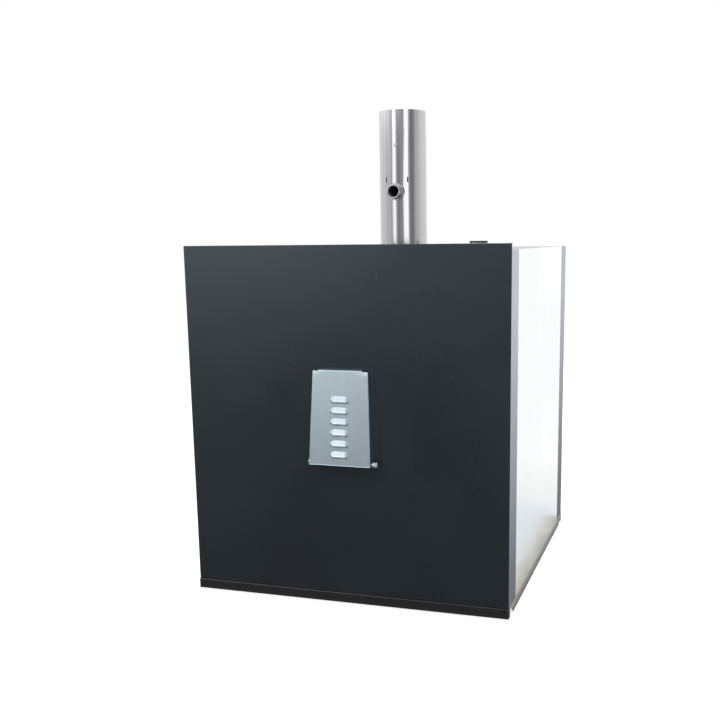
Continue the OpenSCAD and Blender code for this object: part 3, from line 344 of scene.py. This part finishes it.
# Painted reflection: the skirts and shoes turn light grey above their foot.
painted_sheen = add_node(tree, "MapRange", {"Value": place.outputs["Z"], "From Min": sheen_start,
                                      "From Max": sheen_full})
add_node(tree, "Mix", {"Factor": painted_sheen, "A": base_tone, "B": linear("#817f7c")},
         shader.inputs["Base Color"], data_type="RGBA")
for node, axis in (("side_skirts", 0), ("corner_shoes", 0), ("rear_plinth", 1), ("front_plinth", 1)):
    strip_low, strip_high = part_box(node)
    outer = max(abs(strip_low[axis]), abs(strip_high[axis]))
    bm = merged_copy(node)
    ease_edges(bm, strip_fold, 4, chosen=lambda edge: all(abs(v.co.z - strip_high.z) < same_place
                                                          and abs(abs(v.co[axis]) - outer) < same_place
                                                          for v in edge.verts))
    ease_edges(bm, 0.0005)
    set_piece(bm, node + "_part", sheen_painted_black if axis == 0 else black_paint, node)

# The floor pan, the air duct and the hood's bracket are folded from hot-dip zinc coated sheet.
# The zinc froze in crystals about a centimetre wide, each a little lighter or darker.
zinc_sheet, tree, shader = new_finish("spangled_zinc_sheet", "#c0c4c7", 1.0, 0.4)
crystals = object_pattern(tree, "TexVoronoi", 10.5, (1, 1.3, 0.8))
shade_of_crystal = add_node(tree, "SeparateColor", {0: crystals.outputs["Color"]})
vary(tree, shader, shade_of_crystal, "#aab0b4", "#cfd2d4", (0.3, 0.52), (0.0, 1.0))
for node, width in (("floor_pan", 0.0006), ("air_duct", 0.0003), ("hood_bracket", 0.0005)):
    eased_piece(node, zinc_sheet, width)

# Mineral wool boards fill the casing round the chamber and the hollow of the door. They are
# pressed from fine glassy threads that lie mostly flat, and their cut edges are a little soft.
mineral_wool, tree, shader = new_finish("pressed_mineral_wool", "#b5a06c", 0.0, 0.95, Sheen_Weight=0.25)
# The threads are finer than a hair, and are drawn 2 mm thick so that they show.
threads = object_pattern(tree, "TexNoise", 3.33, (0.25, 0.25, 1.6), Detail=5.0, Distortion=1.5)
vary(tree, shader, threads, "#8d7a4c", "#cdbb8a", (0.9, 1.0))
add_node(tree, "Bump", {"Height": threads, "Distance": 0.0012}, shader.inputs["Normal"])
for place in ("floor", "side", "rear", "front", "roof", "door"):
    eased_piece(place + "_insulation", mineral_wool, 0.002)

# The hearth is a bed and nine tiles of fireclay, and the walls and the vault are cast from the
# same clay with crushed brick in it. Fire has browned it and smoke has blackened its vault.
fireclay, tree, shader = new_finish("fired_clay_with_grog", "#c3a27c", 0.0, 0.9)
clouds = object_pattern(tree, "TexNoise", 111, Detail=6.0, Roughness=0.65)
baked = vary(tree, shader, clouds, "#a98662", "#d0b38f", (0.82, 0.95))
grog = object_pattern(tree, "TexVoronoi", 3.85)
speck = add_node(tree, "MapRange", {"Value": grog, "From Min": 0.12, "From Max": 0.22,
                                    "To Min": 0.55, "To Max": 0.0})
speckled = add_node(tree, "Mix", {"Factor": speck, "A": baked, "B": linear("#6b4c36")}, data_type="RGBA")
place = add_node(tree, "SeparateXYZ", {0: add_node(tree, "TexCoord").outputs["Object"]})
smoke_height = add_node(tree, "MapRange", {"Value": place.outputs["Z"], "From Min": 0.40,
                                           "From Max": 0.74, "To Max": 0.9})
smoke = add_node(tree, "Math", {0: smoke_height, 1: clouds}, operation="MULTIPLY")
smoke = add_node(tree, "Math", {0: smoke, 1: 1.7}, operation="MULTIPLY", use_clamp=True)
add_node(tree, "Mix", {"Factor": smoke, "A": speckled, "B": linear("#2a241f")},
         shader.inputs["Base Color"], data_type="RGBA")
# The clay is rough from the 7 mm hollows of its casting down to its finest pores.
pores = object_pattern(tree, "TexNoise", 6.67, Detail=6.0, Roughness=0.7)
add_node(tree, "Bump", {"Height": pores, "Distance": 0.0009}, shader.inputs["Normal"])
for node, width in (("hearth_bed", 0.002), ("hearth_tiles", 0.0018), ("side_walls", 0.003),
                    ("rear_wall", 0.002), ("front_wall", 0.002), ("vault_arches", 0.002),
                    ("flue_arch", 0.0015), ("throat_block", 0.0015)):
    eased_piece(node, fireclay, width)

# The corner posts are folded from zinc coated sheet under a thin matt grey coat, which shows
# the room only as soft light and dark. Its colour is painted darker towards the floor as painted shade.
grey_coat, tree, shader = new_finish("light_grey_coat", "#d5dae2", 0.0, 0.66, Specular_IOR_Level=0.1)
flow = object_pattern(tree, "TexNoise", 25, (1, 1, 0.02), Detail=2.0)
base_tone = vary(tree, shader, flow, "#d2d7df", "#d8dde5", (0.62, 0.7))
place = add_node(tree, "SeparateXYZ", {0: add_node(tree, "TexCoord").outputs["Object"]})
# Painted shade: the coat is painted darker towards the floor.
painted_shade_low = add_node(tree, "MapRange", {"Value": place.outputs["Z"], "From Min": 0.85, "From Max": 0.13})
add_node(tree, "Mix", {"Factor": painted_shade_low, "A": base_tone, "B": linear("#80828a")},
         shader.inputs["Base Color"], data_type="RGBA")
# Its fine grain is drawn 1 mm wide, coarser than it is, so that it shows.
grit = object_pattern(tree, "TexNoise", 1.11, Detail=1.0)
add_node(tree, "Bump", {"Height": grit, "Distance": 0.00002}, shader.inputs["Normal"])
eased_piece("corner_posts", grey_coat, 0.0008)

# The side panels are bright rolled stainless sheet, left bare. A sheet of this size is never
# quite flat, so what it mirrors swims a little, and hands have left dull marks.
bright_sheet, tree, shader = new_finish("bright_rolled_stainless", "#f2f3f4", 1.0, 0.1)
marks = object_pattern(tree, "TexNoise", 200, (1, 1, 0.5), Detail=4.0, Roughness=0.6)
vary(tree, shader, marks, "#eceeef", "#f6f7f8", (0.07, 0.16))
swell = object_pattern(tree, "TexNoise", 455, (1, 1, 0.6), Detail=1.0)
swell = add_node(tree, "Bump", {"Height": swell, "Distance": 0.0025})
# The rolling lines are drawn 4 mm apart, coarser than they are, so that they show.
rolling = object_pattern(tree, "TexNoise", 3.85, (1, 1, 0.01), Detail=1.0)
add_node(tree, "Bump", {"Height": rolling, "Distance": 0.000004, "Normal": swell},
         shader.inputs["Normal"])
for node in ("left_panel", "right_panel"):
    eased_piece(node, bright_sheet, 0.0005)

# The roof is a flat sheet of stainless, screwed down along its front and rear edges. Rain, dust
# and the heat of the flue have dulled it.
roof_sheet, tree, shader = new_finish("weathered_stainless", "#b0b4b8", 1.0, 0.42)
stains = object_pattern(tree, "TexNoise", 143, Detail=6.0, Roughness=0.65)
vary(tree, shader, stains, "#a0a4a8", "#bcbfc2", (0.34, 0.5))
# Its rolling lines are drawn as coarse as those of the side panels.
rolling = object_pattern(tree, "TexNoise", 3.85, (0.01, 1, 1), Detail=2.0)
add_node(tree, "Bump", {"Height": rolling, "Distance": 0.000008}, shader.inputs["Normal"])
eased_piece("roof_panel", roof_sheet, 0.0005)

# The rear panel with its folded lips and the flat front panel are steel sheet, sprayed with
# dark grey powder and baked. The coat is satin, with the fine orange skin of melted powder,
# whose waves are about 1.4 mm wide.
powder_coat, tree, shader = new_finish("dark_powder_coat", "#202427", 0.0, 0.28, Specular_IOR_Level=0.85,
                                       Specular_Tint=linear("#dff0ff"))
cloud = object_pattern(tree, "TexNoise", 286, Detail=3.0)
vary(tree, shader, cloud, "#1e2225", "#222629", (0.25, 0.31))
skin = object_pattern(tree, "TexNoise", 1.43, Detail=1.0)
add_node(tree, "Bump", {"Height": skin, "Distance": 0.00006}, shader.inputs["Normal"])
panel_fold = 0.0022
rear_low, rear_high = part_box("rear_panel")
bm = merged_copy("rear_panel")


def on_rear_fold(edge):
    """The bends between the face and the lips along its top and its foot."""
    return any(all(abs(v.co.z - level) < same_place and abs(v.co.y - rear_low.y) < same_place
                   for v in edge.verts) for level in (rear_low.z, rear_high.z))


ease_edges(bm, panel_fold, 4, chosen=on_rear_fold)
ease_edges(bm, 0.0005)
set_piece(bm, "rear_panel_part", powder_coat, "rear_panel")
eased_piece("front_panel", powder_coat, 0.0005)

# Screws, pins, the socket and the damper's spindle are turned from stainless bar. The rings
# that the tool has left are too fine to show, and are drawn as a mottled gloss.
turned_steel, tree, shader = new_finish("turned_stainless", "#b9bcbf", 1.0, 0.28)
rings = object_pattern(tree, "TexNoise", 1.43, Detail=2.0)
vary(tree, shader, rings, "#b0b3b6", "#c4c7c9", (0.2, 0.36))
for node, width in (("casing_screws", 0.0008), ("hinge_pins", 0.0008), ("latch_pivot", 0.0008),
                    ("damper_spindle", 0.0008), ("saddle_ring", 0.0016)):
    eased_piece(node, turned_steel, width, 3)

# The air hood is pressed and folded from satin stainless sheet: a plate that leans in towards
# its top, two cheeks, a narrower top flange, and six louvres that the press has slit along
# their lower edge and pushed out. It swings on the pin that its knob clamps.
satin_steel, tree, shader = new_finish("satin_stainless", "#bfcdd6", 1.0, 0.36)
rub = object_pattern(tree, "TexNoise", 16.7, (1, 1, 0.1), Detail=3.0)
vary(tree, shader, rub, "#bccad3", "#c2d0d9", (0.33, 0.39))
# The grain of the grinding belt is drawn 2 mm wide so that it shows.
grain = object_pattern(tree, "TexNoise", 2, (1, 1, 0.08), Detail=2.0)
add_node(tree, "Bump", {"Height": grain, "Distance": 0.000004}, shader.inputs["Normal"])
hood_height = 0.261
hood_foot = 0.410
hood_sheet = 0.0015
hood_bottom_half = 0.0895
hood_top_half = 0.080
hood_bottom_depth = 0.038
hood_top_depth = 0.016
hood_relief = 0.0065
hood_relief_height = 0.007
tab_half = 0.0635
notch = 0.003
fold_radius = 0.0022
lip_out = 0.0004
lip_height = 0.002
louvre_count = 6
louvre_pitch = 0.030
louvre_start = 0.024
louvre_height = 0.0155
louvre_depth = 0.0046
louvre_half = 0.0265
louvre_top_half = 0.0165
louvre_widest = 0.3
louvre_curve = 1.15
louvre_end = 0.0075
slit_lip = 0.0004
cell = 0.0015
side_strip = 0.030
outer_strip = 0.046
first_fine_row = 0.018
fine_rows = 120
rows_below = [0, 0.001, 0.002, 0.0035, 0.007, 0.0125]
rows_above = [0.212, 0.228, 0.244, hood_height - notch, hood_height]
fold_angle = math.radians(70)
hood_slope = (hood_bottom_depth - hood_top_depth) / hood_height
plate_out = Vector((0, -1, hood_slope)).normalized()
fine_columns = round(2 * side_strip / cell)
columns = [-1, -tab_half, -outer_strip] + [-side_strip + i * cell for i in range(fine_columns + 1)]
columns += [outer_strip, tab_half, 1]
rows = rows_below + [first_fine_row + i * cell for i in range(fine_rows + 1)] + rows_above


def smooth_step(share):
    """Rises gently from 0 to 1."""
    share = min(max(share, 0), 1)
    return share * share * (3 - 2 * share)


def louvre_rise(across, up):
    """How far a louvre stands out, at a place measured from the middle of its slit."""
    if not -weld_gap <= up < louvre_height:
        return 0
    share = max(up / louvre_height, 0)
    bow = math.sqrt(max(1 - ((share - louvre_widest) / (1 - louvre_widest)) ** 2, 0))
    half = louvre_top_half + (louvre_half - louvre_top_half) * bow
    return louvre_depth * (1 - share ** louvre_curve) * smooth_step((half - abs(across)) / louvre_end)


bm = bmesh.new()
bmesh.ops.create_grid(bm, x_segments=len(columns) - 1, y_segments=len(rows) - 1, size=1)
for vert in bm.verts:
    column = round((vert.co.x + 1) / 2 * (len(columns) - 1))
    up = rows[round((vert.co.y + 1) / 2 * (len(rows) - 1))]
    half = hood_bottom_half + (hood_top_half - hood_bottom_half) * up / hood_height
    across = half * columns[column] if abs(columns[column]) == 1 else columns[column]
    lip = lip_out * max(0, 1 - up / lip_height)
    vert.co = Vector((across, rear_low.y - hood_bottom_depth + hood_slope * up - lip, hood_foot + up))
corners = [face for face in bm.faces if abs(face.calc_center_median().x) > tab_half
           and face.calc_center_median().z > hood_foot + hood_height - notch]
bmesh.ops.delete(bm, geom=corners, context="FACES")
for i in range(louvre_count):
    slit = hood_foot + louvre_start + i * louvre_pitch
    cut = [edge for edge in bm.edges if all(abs(v.co.z - slit) < same_place and abs(v.co.x) < louvre_half
                                            for v in edge.verts)]
    bmesh.ops.split_edges(bm, edges=cut)
    for vert in bm.verts:
        up = vert.co.z - slit
        if min(face.calc_center_median().z for face in vert.link_faces) > slit:
            vert.co += plate_out * louvre_rise(vert.co.x, up)
        elif up > -2 * cell:
            share = min(1 + up / (2 * cell), 1) * smooth_step((louvre_half - abs(vert.co.x)) / louvre_end)
            vert.co += plate_out * slit_lip * share * (up < cell / 2)


def boundary_edges(bm, chosen):
    """The free edges of a sheet whose two ends both pass a test."""
    return [edge for edge in bm.edges if edge.is_boundary and all(chosen(v.co) for v in edge.verts)]


def fold_back(bm, edges, place):
    """Draws free edges out into a folded flange, whose new edge lies where place puts it."""
    drawn = bmesh.ops.extrude_edge_only(bm, edges=edges)["geom"]
    for vert in [item for item in drawn if isinstance(item, bmesh.types.BMVert)]:
        vert.co = place(vert.co)


def plate_edge(co):
    """True on the two sloping side edges of the plate."""
    half = hood_bottom_half + (hood_top_half - hood_bottom_half) * (co.z - hood_foot) / hood_height
    return abs(abs(co.x) - half) < same_place


def cheek_back(co):
    """The rear edge of a cheek, with its lower corner cut off so that the hood can tilt."""
    short = max(0, 1 - (co.z - hood_foot) / hood_relief_height) * hood_relief
    return Vector((co.x, rear_low.y - hood_sheet - short, co.z))


fold_back(bm, boundary_edges(bm, plate_edge), cheek_back)
fold_back(bm, boundary_edges(bm, lambda co: abs(co.z - hood_foot - hood_height) < same_place),
          lambda co: Vector((co.x, rear_low.y - hood_sheet, co.z)))
bmesh.ops.recalc_face_normals(bm, faces=bm.faces)
if max(bm.faces, key=lambda face: face.calc_area()).normal.dot(plate_out) < -0.5:
    bmesh.ops.reverse_faces(bm, faces=bm.faces)
folds = [edge for edge in bm.edges if edge.is_manifold and edge.calc_face_angle() > fold_angle
         and (all(plate_edge(v.co) for v in edge.verts)
              or all(v.co.z > hood_foot + hood_height - same_place for v in edge.verts))]
bmesh.ops.bevel(bm, geom=folds, offset=fold_radius, segments=4, profile=0.5, affect="EDGES", material=-1)
hood = set_piece(bm, "air_hood_part", satin_steel, "air_hood", smooth_angle=50)
wall = hood.modifiers.new("sheet", "SOLIDIFY")
wall.thickness = hood_sheet
wall.offset = -1
wall.use_even_offset = True
hood.modifiers.move(1, 0)
eased_piece("hood_pin", satin_steel, 0.0008, 3)
eased_piece("clamp_knob", satin_steel, 0.0007, 3)

# The ember screen behind the air opening and the damper's plate are bare steel that the fire
# has tinted, and soot lies on them as it does on the inside of the flue.
sooted_steel, tree, shader = new_finish("sooted_steel", "#53504d", 0.4, 0.7)
soot = object_pattern(tree, "TexNoise", 22.2, Detail=6.0, Roughness=0.7)
vary(tree, shader, soot, "#3b3836", "#6c6763", (0.6, 0.85))
add_node(tree, "Bump", {"Height": soot, "Distance": 0.0002}, shader.inputs["Normal"])
for node in ("ember_screen", "damper_plate"):
    eased_piece(node, sooted_steel, 0.0002)

# The flue is a 150 mm pipe of bright stainless sheet, rolled up and welded along its length.
# The weld stands a little proud, with the straw tint that its heat has left beside it.
flue_low, flue_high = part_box("flue_pipe")
flue_x = (flue_low.x + flue_high.x) / 2
flue_y = (flue_low.y + flue_high.y) / 2
flue_radius = (flue_high.x - flue_low.x) / 2
flue_wall = 0.0015
seam_bearing = math.radians(55)
seam_width = 0.0030
seam_rise = 0.00025
seam_foot = 0.999
spigot = 0.060
tube_steel, tree, shader = new_finish("stainless_tube", "#d3d3d7", 1.0, 0.12)
about_axis = object_pattern(tree, "TexNoise", 11.1, (1, 1, 0.015), (flue_x, flue_y, 0), Detail=3.0)
drawn = vary(tree, shader, about_axis, "#cecdd2", "#d9d9dd", (0.09, 0.17))
spot = add_node(tree, "SeparateXYZ", {0: add_node(tree, "TexCoord").outputs["Object"]})
back = add_node(tree, "Math", {0: flue_y, 1: spot.outputs["Y"]}, operation="SUBTRACT")
bearing = add_node(tree, "Math", {0: spot.outputs["X"], 1: back}, operation="ARCTAN2")
off_seam = add_node(tree, "Math", {0: bearing, 1: seam_bearing}, operation="SUBTRACT")
off_seam = add_node(tree, "Math", {0: off_seam}, operation="ABSOLUTE")
heat = add_node(tree, "MapRange", {"Value": off_seam, "From Min": 0.02, "From Max": 0.14, "To Min": 0.9,
                                   "To Max": 0.0})
patches = object_pattern(tree, "TexNoise", 71.4, (1, 1, 0.4), Detail=4.0)
heat = add_node(tree, "Math", {0: heat, 1: patches}, operation="MULTIPLY")
add_node(tree, "Mix", {"Factor": heat, "A": drawn, "B": linear("#c9c1a2")},
         shader.inputs["Base Color"], data_type="RGBA")
add_node(tree, "Bump", {"Height": about_axis, "Distance": 0.000012}, shader.inputs["Normal"])


def line_bore(bm, limit, centre=(flue_x, flue_y)):
    """Gives the second finish to what lies within a distance of an upright axis."""
    for face in bm.faces:
        if all(math.hypot(v.co.x - centre[0], v.co.y - centre[1]) < limit for v in face.verts):
            face.material_index = 1


bm = merged_copy("flue_pipe")
ease_edges(bm, 0.0003)
line_bore(bm, flue_radius - flue_wall * 0.5)
on_pipe = (Matrix.Translation((flue_x, flue_y, seam_foot))
           @ Matrix.Rotation(seam_bearing - math.pi / 2, 4, "Z"))
bead = bmesh.ops.create_circle(bm, segments=12, radius=0.5, cap_ends=True)["verts"]
bmesh.ops.scale(bm, vec=(2 * seam_rise, seam_width, 1), verts=bead)
bmesh.ops.transform(bm, matrix=on_pipe @ Matrix.Translation((flue_radius, 0, 0)), verts=bead)
foot = next(face for face in bm.faces if set(face.verts) == set(bead))
drawn_out = bmesh.ops.extrude_face_region(bm, geom=[foot], use_keep_orig=True)["geom"]
bead_top = [item for item in drawn_out if isinstance(item, bmesh.types.BMVert)]
bmesh.ops.translate(bm, vec=(0, 0, flue_high.z - spigot - seam_foot), verts=bead_top)
bmesh.ops.recalc_face_normals(bm, faces=bm.faces)
set_piece(bm, "flue_pipe_part", [tube_steel, sooted_steel], "flue_pipe")

# A flanged collar seals the gap between the flue and the roof, and a short pipe beside it lets
# the chamber's steam out under a cap.
satin_tube, tree, shader = new_finish("dull_stainless_tube", "#b9bcc0", 1.0, 0.4)
worn = object_pattern(tree, "TexNoise", 14.3, Detail=4.0)
vary(tree, shader, worn, "#b0b3b7", "#c4c7ca", (0.34, 0.5))
eased_piece("roof_collar", satin_tube, 0.0006)
bm = merged_copy("steam_pipe")
ease_edges(bm, 0.0006)
vent_low, vent_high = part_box("steam_cap")
steam_bore = 0.0192
line_bore(bm, steam_bore, ((vent_low.x + vent_high.x) / 2, (vent_low.y + vent_high.y) / 2))
set_piece(bm, "steam_pipe_part", [satin_tube, sooted_steel], "steam_pipe")

# The measuring socket is a threaded sleeve that is welded to the flue through a saddle ring. A
# probe or a plug screws into it, and its thread has darkened in the smoke.
socket_low, socket_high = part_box("measuring_socket")
socket_z = (socket_low.z + socket_high.z) / 2
socket_radius = (socket_high.z - socket_low.z) / 2
socket_bore = 0.0165
nose = 0.0018
nose_rows = 8
thread_pitch = 0.0023
thread_depth = 0.0006
turned_steps = 72
length = socket_high.y - socket_low.y
rim_middle = (socket_radius + socket_bore) / 2
rim_half = (socket_radius - socket_bore) / 2
profile = []
for i in range(nose_rows + 1):
    angle = math.pi * i / nose_rows
    profile.append((rim_middle + rim_half * math.cos(angle), nose * (1 - math.sin(angle))))
for i in range(int((length - 2 * nose) / thread_pitch)):
    profile += [(socket_bore + thread_depth, nose + (i + 0.5) * thread_pitch),
                (socket_bore, nose + (i + 1) * thread_pitch)]
profile += [(socket_bore, length), (socket_radius, length)]
socket_end = Vector((flue_x, socket_low.y, socket_z))
bm = bmesh.new()
outline = [bm.verts.new(socket_end + Vector((radius, along, 0))) for radius, along in profile]
edges = [bm.edges.new(pair) for pair in zip(outline, outline[1:] + outline[:1])]
bmesh.ops.spin(bm, geom=outline + edges, cent=socket_end, axis=(0, 1, 0), angle=math.tau,
               steps=turned_steps, use_merge=True)
bmesh.ops.remove_doubles(bm, verts=bm.verts, dist=weld_gap)
bmesh.ops.recalc_face_normals(bm, faces=bm.faces)
for face in bm.faces:
    middle = face.calc_center_median()
    if math.hypot(middle.x - flue_x, middle.z - socket_z) < socket_bore + thread_depth:
        face.material_index = 1
set_piece(bm, "measuring_socket_part", [turned_steel, sooted_steel], "measuring_socket")

# The handle of the damper, the grip of the latch and the steam vent's cap are moulded from
# black phenolic resin, which stands the heat. The mould leaves it half glossy.
black_moulding, tree, shader = new_finish("black_phenolic_moulding", "#19191a", 0.0, 0.32)
flow = object_pattern(tree, "TexNoise", 18.2, Detail=4.0, Distortion=0.6)
vary(tree, shader, flow, "#151516", "#202021", (0.26, 0.42))
for node, width in (("damper_handle", 0.0012), ("latch_grip", 0.0008), ("steam_cap", 0.0012)):
    eased_piece(node, black_moulding, width, 3)

# The door frame, the latch and its keeper are thick plate under black stove paint, which is
# matt, a little chalky, and polished at the edges by hands.
stove_paint, tree, shader = new_finish("black_stove_paint", "#202122", 0.0, 0.6, Specular_IOR_Level=0.4)
chalk = object_pattern(tree, "TexNoise", 62.5, Detail=6.0, Roughness=0.65)
vary(tree, shader, chalk, "#1a1b1c", "#2a2b2c", (0.48, 0.7))
# Its grain is a few tenths of a millimetre wide, and is drawn at 1.25 mm so that it shows.
sand = object_pattern(tree, "TexNoise", 1.25, Detail=2.0)
add_node(tree, "Bump", {"Height": sand, "Distance": 0.00008}, shader.inputs["Normal"])
for node, width in (("door_frame", 0.0012), ("latch_lever", 0.0018), ("latch_keeper", 0.0015)):
    eased_piece(node, stove_paint, width, 3)

# The door is a shallow tray of brushed stainless sheet over a stainless liner, with wool
# between them, and the air slide runs between two guides at its foot.
brushed_steel, tree, shader = new_finish("brushed_stainless", "#bcc1c5", 1.0, 0.3)
# The brush strokes are drawn over 2 mm apart, coarser than they are, so that they show.
strokes = object_pattern(tree, "TexNoise", 2.38, (0.012, 1, 1), Detail=3.0)
vary(tree, shader, strokes, "#b3b8bc", "#c6cbce", (0.24, 0.38))
add_node(tree, "Bump", {"Height": strokes, "Distance": 0.00001}, shader.inputs["Normal"])
for node, width, rows in (("door_shell", 0.0025, 4), ("door_liner", 0.0005, 2),
                          ("slide_guides", 0.0006, 2), ("air_slide", 0.0005, 2)):
    eased_piece(node, brushed_steel, width, rows)

# The seal is a flattened rope, braided from glass fibre and glued round the liner. It closes
# the gap between the door and its frame.
seal_low, seal_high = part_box("door_seal")
seal_width = 0.012
strand = 0.00035
strand_pitch = 0.009
seal_step = 0.0018
ring_steps = 18
corner_radius = 0.012
corner_rows = 8
glass_rope, tree, shader = new_finish("braided_glass_fibre", "#b9b4a4", 0.0, 0.95, Sheen_Weight=0.3)
# The fibres are finer than a hair, and are drawn 2 mm wide so that they show.
lay = object_pattern(tree, "TexNoise", 2, Detail=3.0)
vary(tree, shader, lay, "#8f897a", "#cbc7ba", (0.88, 1.0))
add_node(tree, "Bump", {"Height": lay, "Distance": 0.0003}, shader.inputs["Normal"])
half_w = (seal_high.x - seal_low.x - seal_width) / 2
half_h = (seal_high.z - seal_low.z - seal_width) / 2
half_thick = (seal_high.y - seal_low.y) / 2
seal_middle = (Vector(seal_low) + Vector(seal_high)) / 2
rope_line = []
quarters = [(1, 1), (-1, 1), (-1, -1), (1, -1)]
for k, (right, top) in enumerate(quarters):
    quarter_turn = k * math.pi / 2
    centre = Vector((right * (half_w - corner_radius), top * (half_h - corner_radius)))
    for i in range(corner_rows + 1):
        angle = quarter_turn + math.pi / 2 * i / corner_rows
        rope_line.append((centre + corner_radius * Vector((math.cos(angle), math.sin(angle))), angle))
    right, top = quarters[(k + 1) % 4]
    next_centre = Vector((right * (half_w - corner_radius), top * (half_h - corner_radius)))
    straight = round((next_centre - centre).length / seal_step)
    start = rope_line[-1][0]
    rope_line += [(start + (next_centre - centre) * i / straight, angle) for i in range(1, straight)]
rounds = round(len(rope_line) * seal_step / strand_pitch)
bm = bmesh.new()
loops = []
for k, (place, angle) in enumerate(rope_line):
    along = math.tau * rounds * k / len(rope_line)
    loop = []
    for i in range(ring_steps):
        round_rope = math.tau * i / ring_steps
        crossing = max(math.sin(along + 2 * round_rope), math.sin(along - 2 * round_rope))
        size = 1 - strand / half_thick * (1 - crossing)
        out = seal_width / 2 * math.cos(round_rope) * size
        loop.append(bm.verts.new((seal_middle.x + place.x + out * math.cos(angle),
                                  seal_middle.y + half_thick * math.sin(round_rope) * size,
                                  seal_middle.z + place.y + out * math.sin(angle))))
    loops.append(loop)
for near, far in zip(loops, loops[1:] + loops[:1]):
    for i in range(ring_steps):
        j = (i + 1) % ring_steps
        bm.faces.new((near[i], near[j], far[j], far[i]))
bmesh.ops.recalc_face_normals(bm, faces=bm.faces)
set_piece(bm, "door_seal_part", glass_rope, "door_seal", smooth_angle=80)

# The thermometer in the door is turned from stainless. Its dial is enamelled white and printed
# with a scale to 500 degrees, and its red needle lies flat under a glass.
eased_piece("thermometer_case", turned_steel, 0.0008, 3)
enamel, tree, shader = new_finish("white_enamel", "#eef0ec", 0.0, 0.2, Coat_Weight=0.3)
flow = object_pattern(tree, "TexNoise", 8.33, Detail=2.0)
vary(tree, shader, flow, "#ebede8", "#f1f2ef", (0.16, 0.24))
dial_low, dial_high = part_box("thermometer_dial")
dial_x = (dial_low.x + dial_high.x) / 2
dial_z = (dial_low.z + dial_high.z) / 2
dial_thick = 0.001
dial_face = dial_low.y + dial_thick
bm = merged_copy("thermometer_dial")
for face in bm.faces:
    face.material_index = int(face.calc_center_median().y > dial_face + same_place)
set_piece(bm, "thermometer_dial_part", [enamel, turned_steel], "thermometer_dial")
scale_top = 500
scale_step = 10
long_tick_step = 50
number_step = 100
scale_turn = math.radians(270)
scale_start = math.radians(-45)
scale_radius = 0.0280
number_radius = 0.0195
number_size = 0.0062
ink = 0.00006
ink_gap = 1e-7
short_tick = (0.0016, 0.00035)
long_tick = (0.0034, 0.0006)
printing, tree, shader = new_finish("black_dial_printing", "#141414", 0.0, 0.45)
flow = object_pattern(tree, "TexNoise", 3.33, Detail=2.0)
vary(tree, shader, flow, "#101010", "#1c1c1c", (0.38, 0.52))
bm = bmesh.new()
for reading in range(0, scale_top + 1, scale_step):
    angle = scale_start + scale_turn * reading / scale_top
    length, width = long_tick if reading % long_tick_step == 0 else short_tick
    place = Matrix.Translation((dial_x, dial_face + ink / 2, dial_z)) @ Matrix.Rotation(-angle, 4, "Y")
    place = place @ Matrix.Translation((scale_radius - length / 2, 0, 0))
    bmesh.ops.create_cube(bm, size=1, matrix=place @ Matrix.Diagonal((length, ink, width, 1)))
for reading in range(0, scale_top + 1, number_step):
    angle = scale_start + scale_turn * reading / scale_top
    words = bpy.data.curves.new("number", "FONT")
    words.body = str(reading)
    words.size = number_size
    words.extrude = ink / 2
    words.align_x = "CENTER"
    words.align_y = "CENTER"
    written = bpy.data.objects.new("number", words)
    place = Vector((dial_x + number_radius * math.cos(angle), dial_face + ink / 2,
                    dial_z + number_radius * math.sin(angle)))
    turned_round = Matrix(((-1, 0, 0), (0, 0, 1), (0, 1, 0))).to_4x4()
    shape = bpy.data.meshes.new_from_object(written)
    shape.transform(Matrix.Translation(place) @ turned_round)
    bm.from_mesh(shape)
    bpy.data.objects.remove(written)
    bpy.data.meshes.remove(shape)
bmesh.ops.remove_doubles(bm, verts=bm.verts, dist=ink_gap)
bmesh.ops.recalc_face_normals(bm, faces=bm.faces)
set_piece(bm, "dial_print", printing, body="door", slot="black_grip", smooth_angle=30)
needle_red, tree, shader = new_finish("red_lacquer", "#b3121a", 0.0, 0.3)
flow = object_pattern(tree, "TexNoise", 5, Detail=2.0)
vary(tree, shader, flow, "#a81018", "#be161e", (0.26, 0.36))
eased_piece("thermometer_pointer", needle_red, 0.0001, 1)
clear_glass, tree, shader = new_finish("clear_glass", "#ffffff", 0.0, 0.0, Transmission_Weight=1.0,
                                       IOR=1.45)
flow = object_pattern(tree, "TexNoise", 33.3, Detail=1.0)
add_node(tree, "Bump", {"Height": flow, "Distance": 0.00001}, shader.inputs["Normal"])
eased_piece("thermometer_glass", clear_glass, 0.0003)
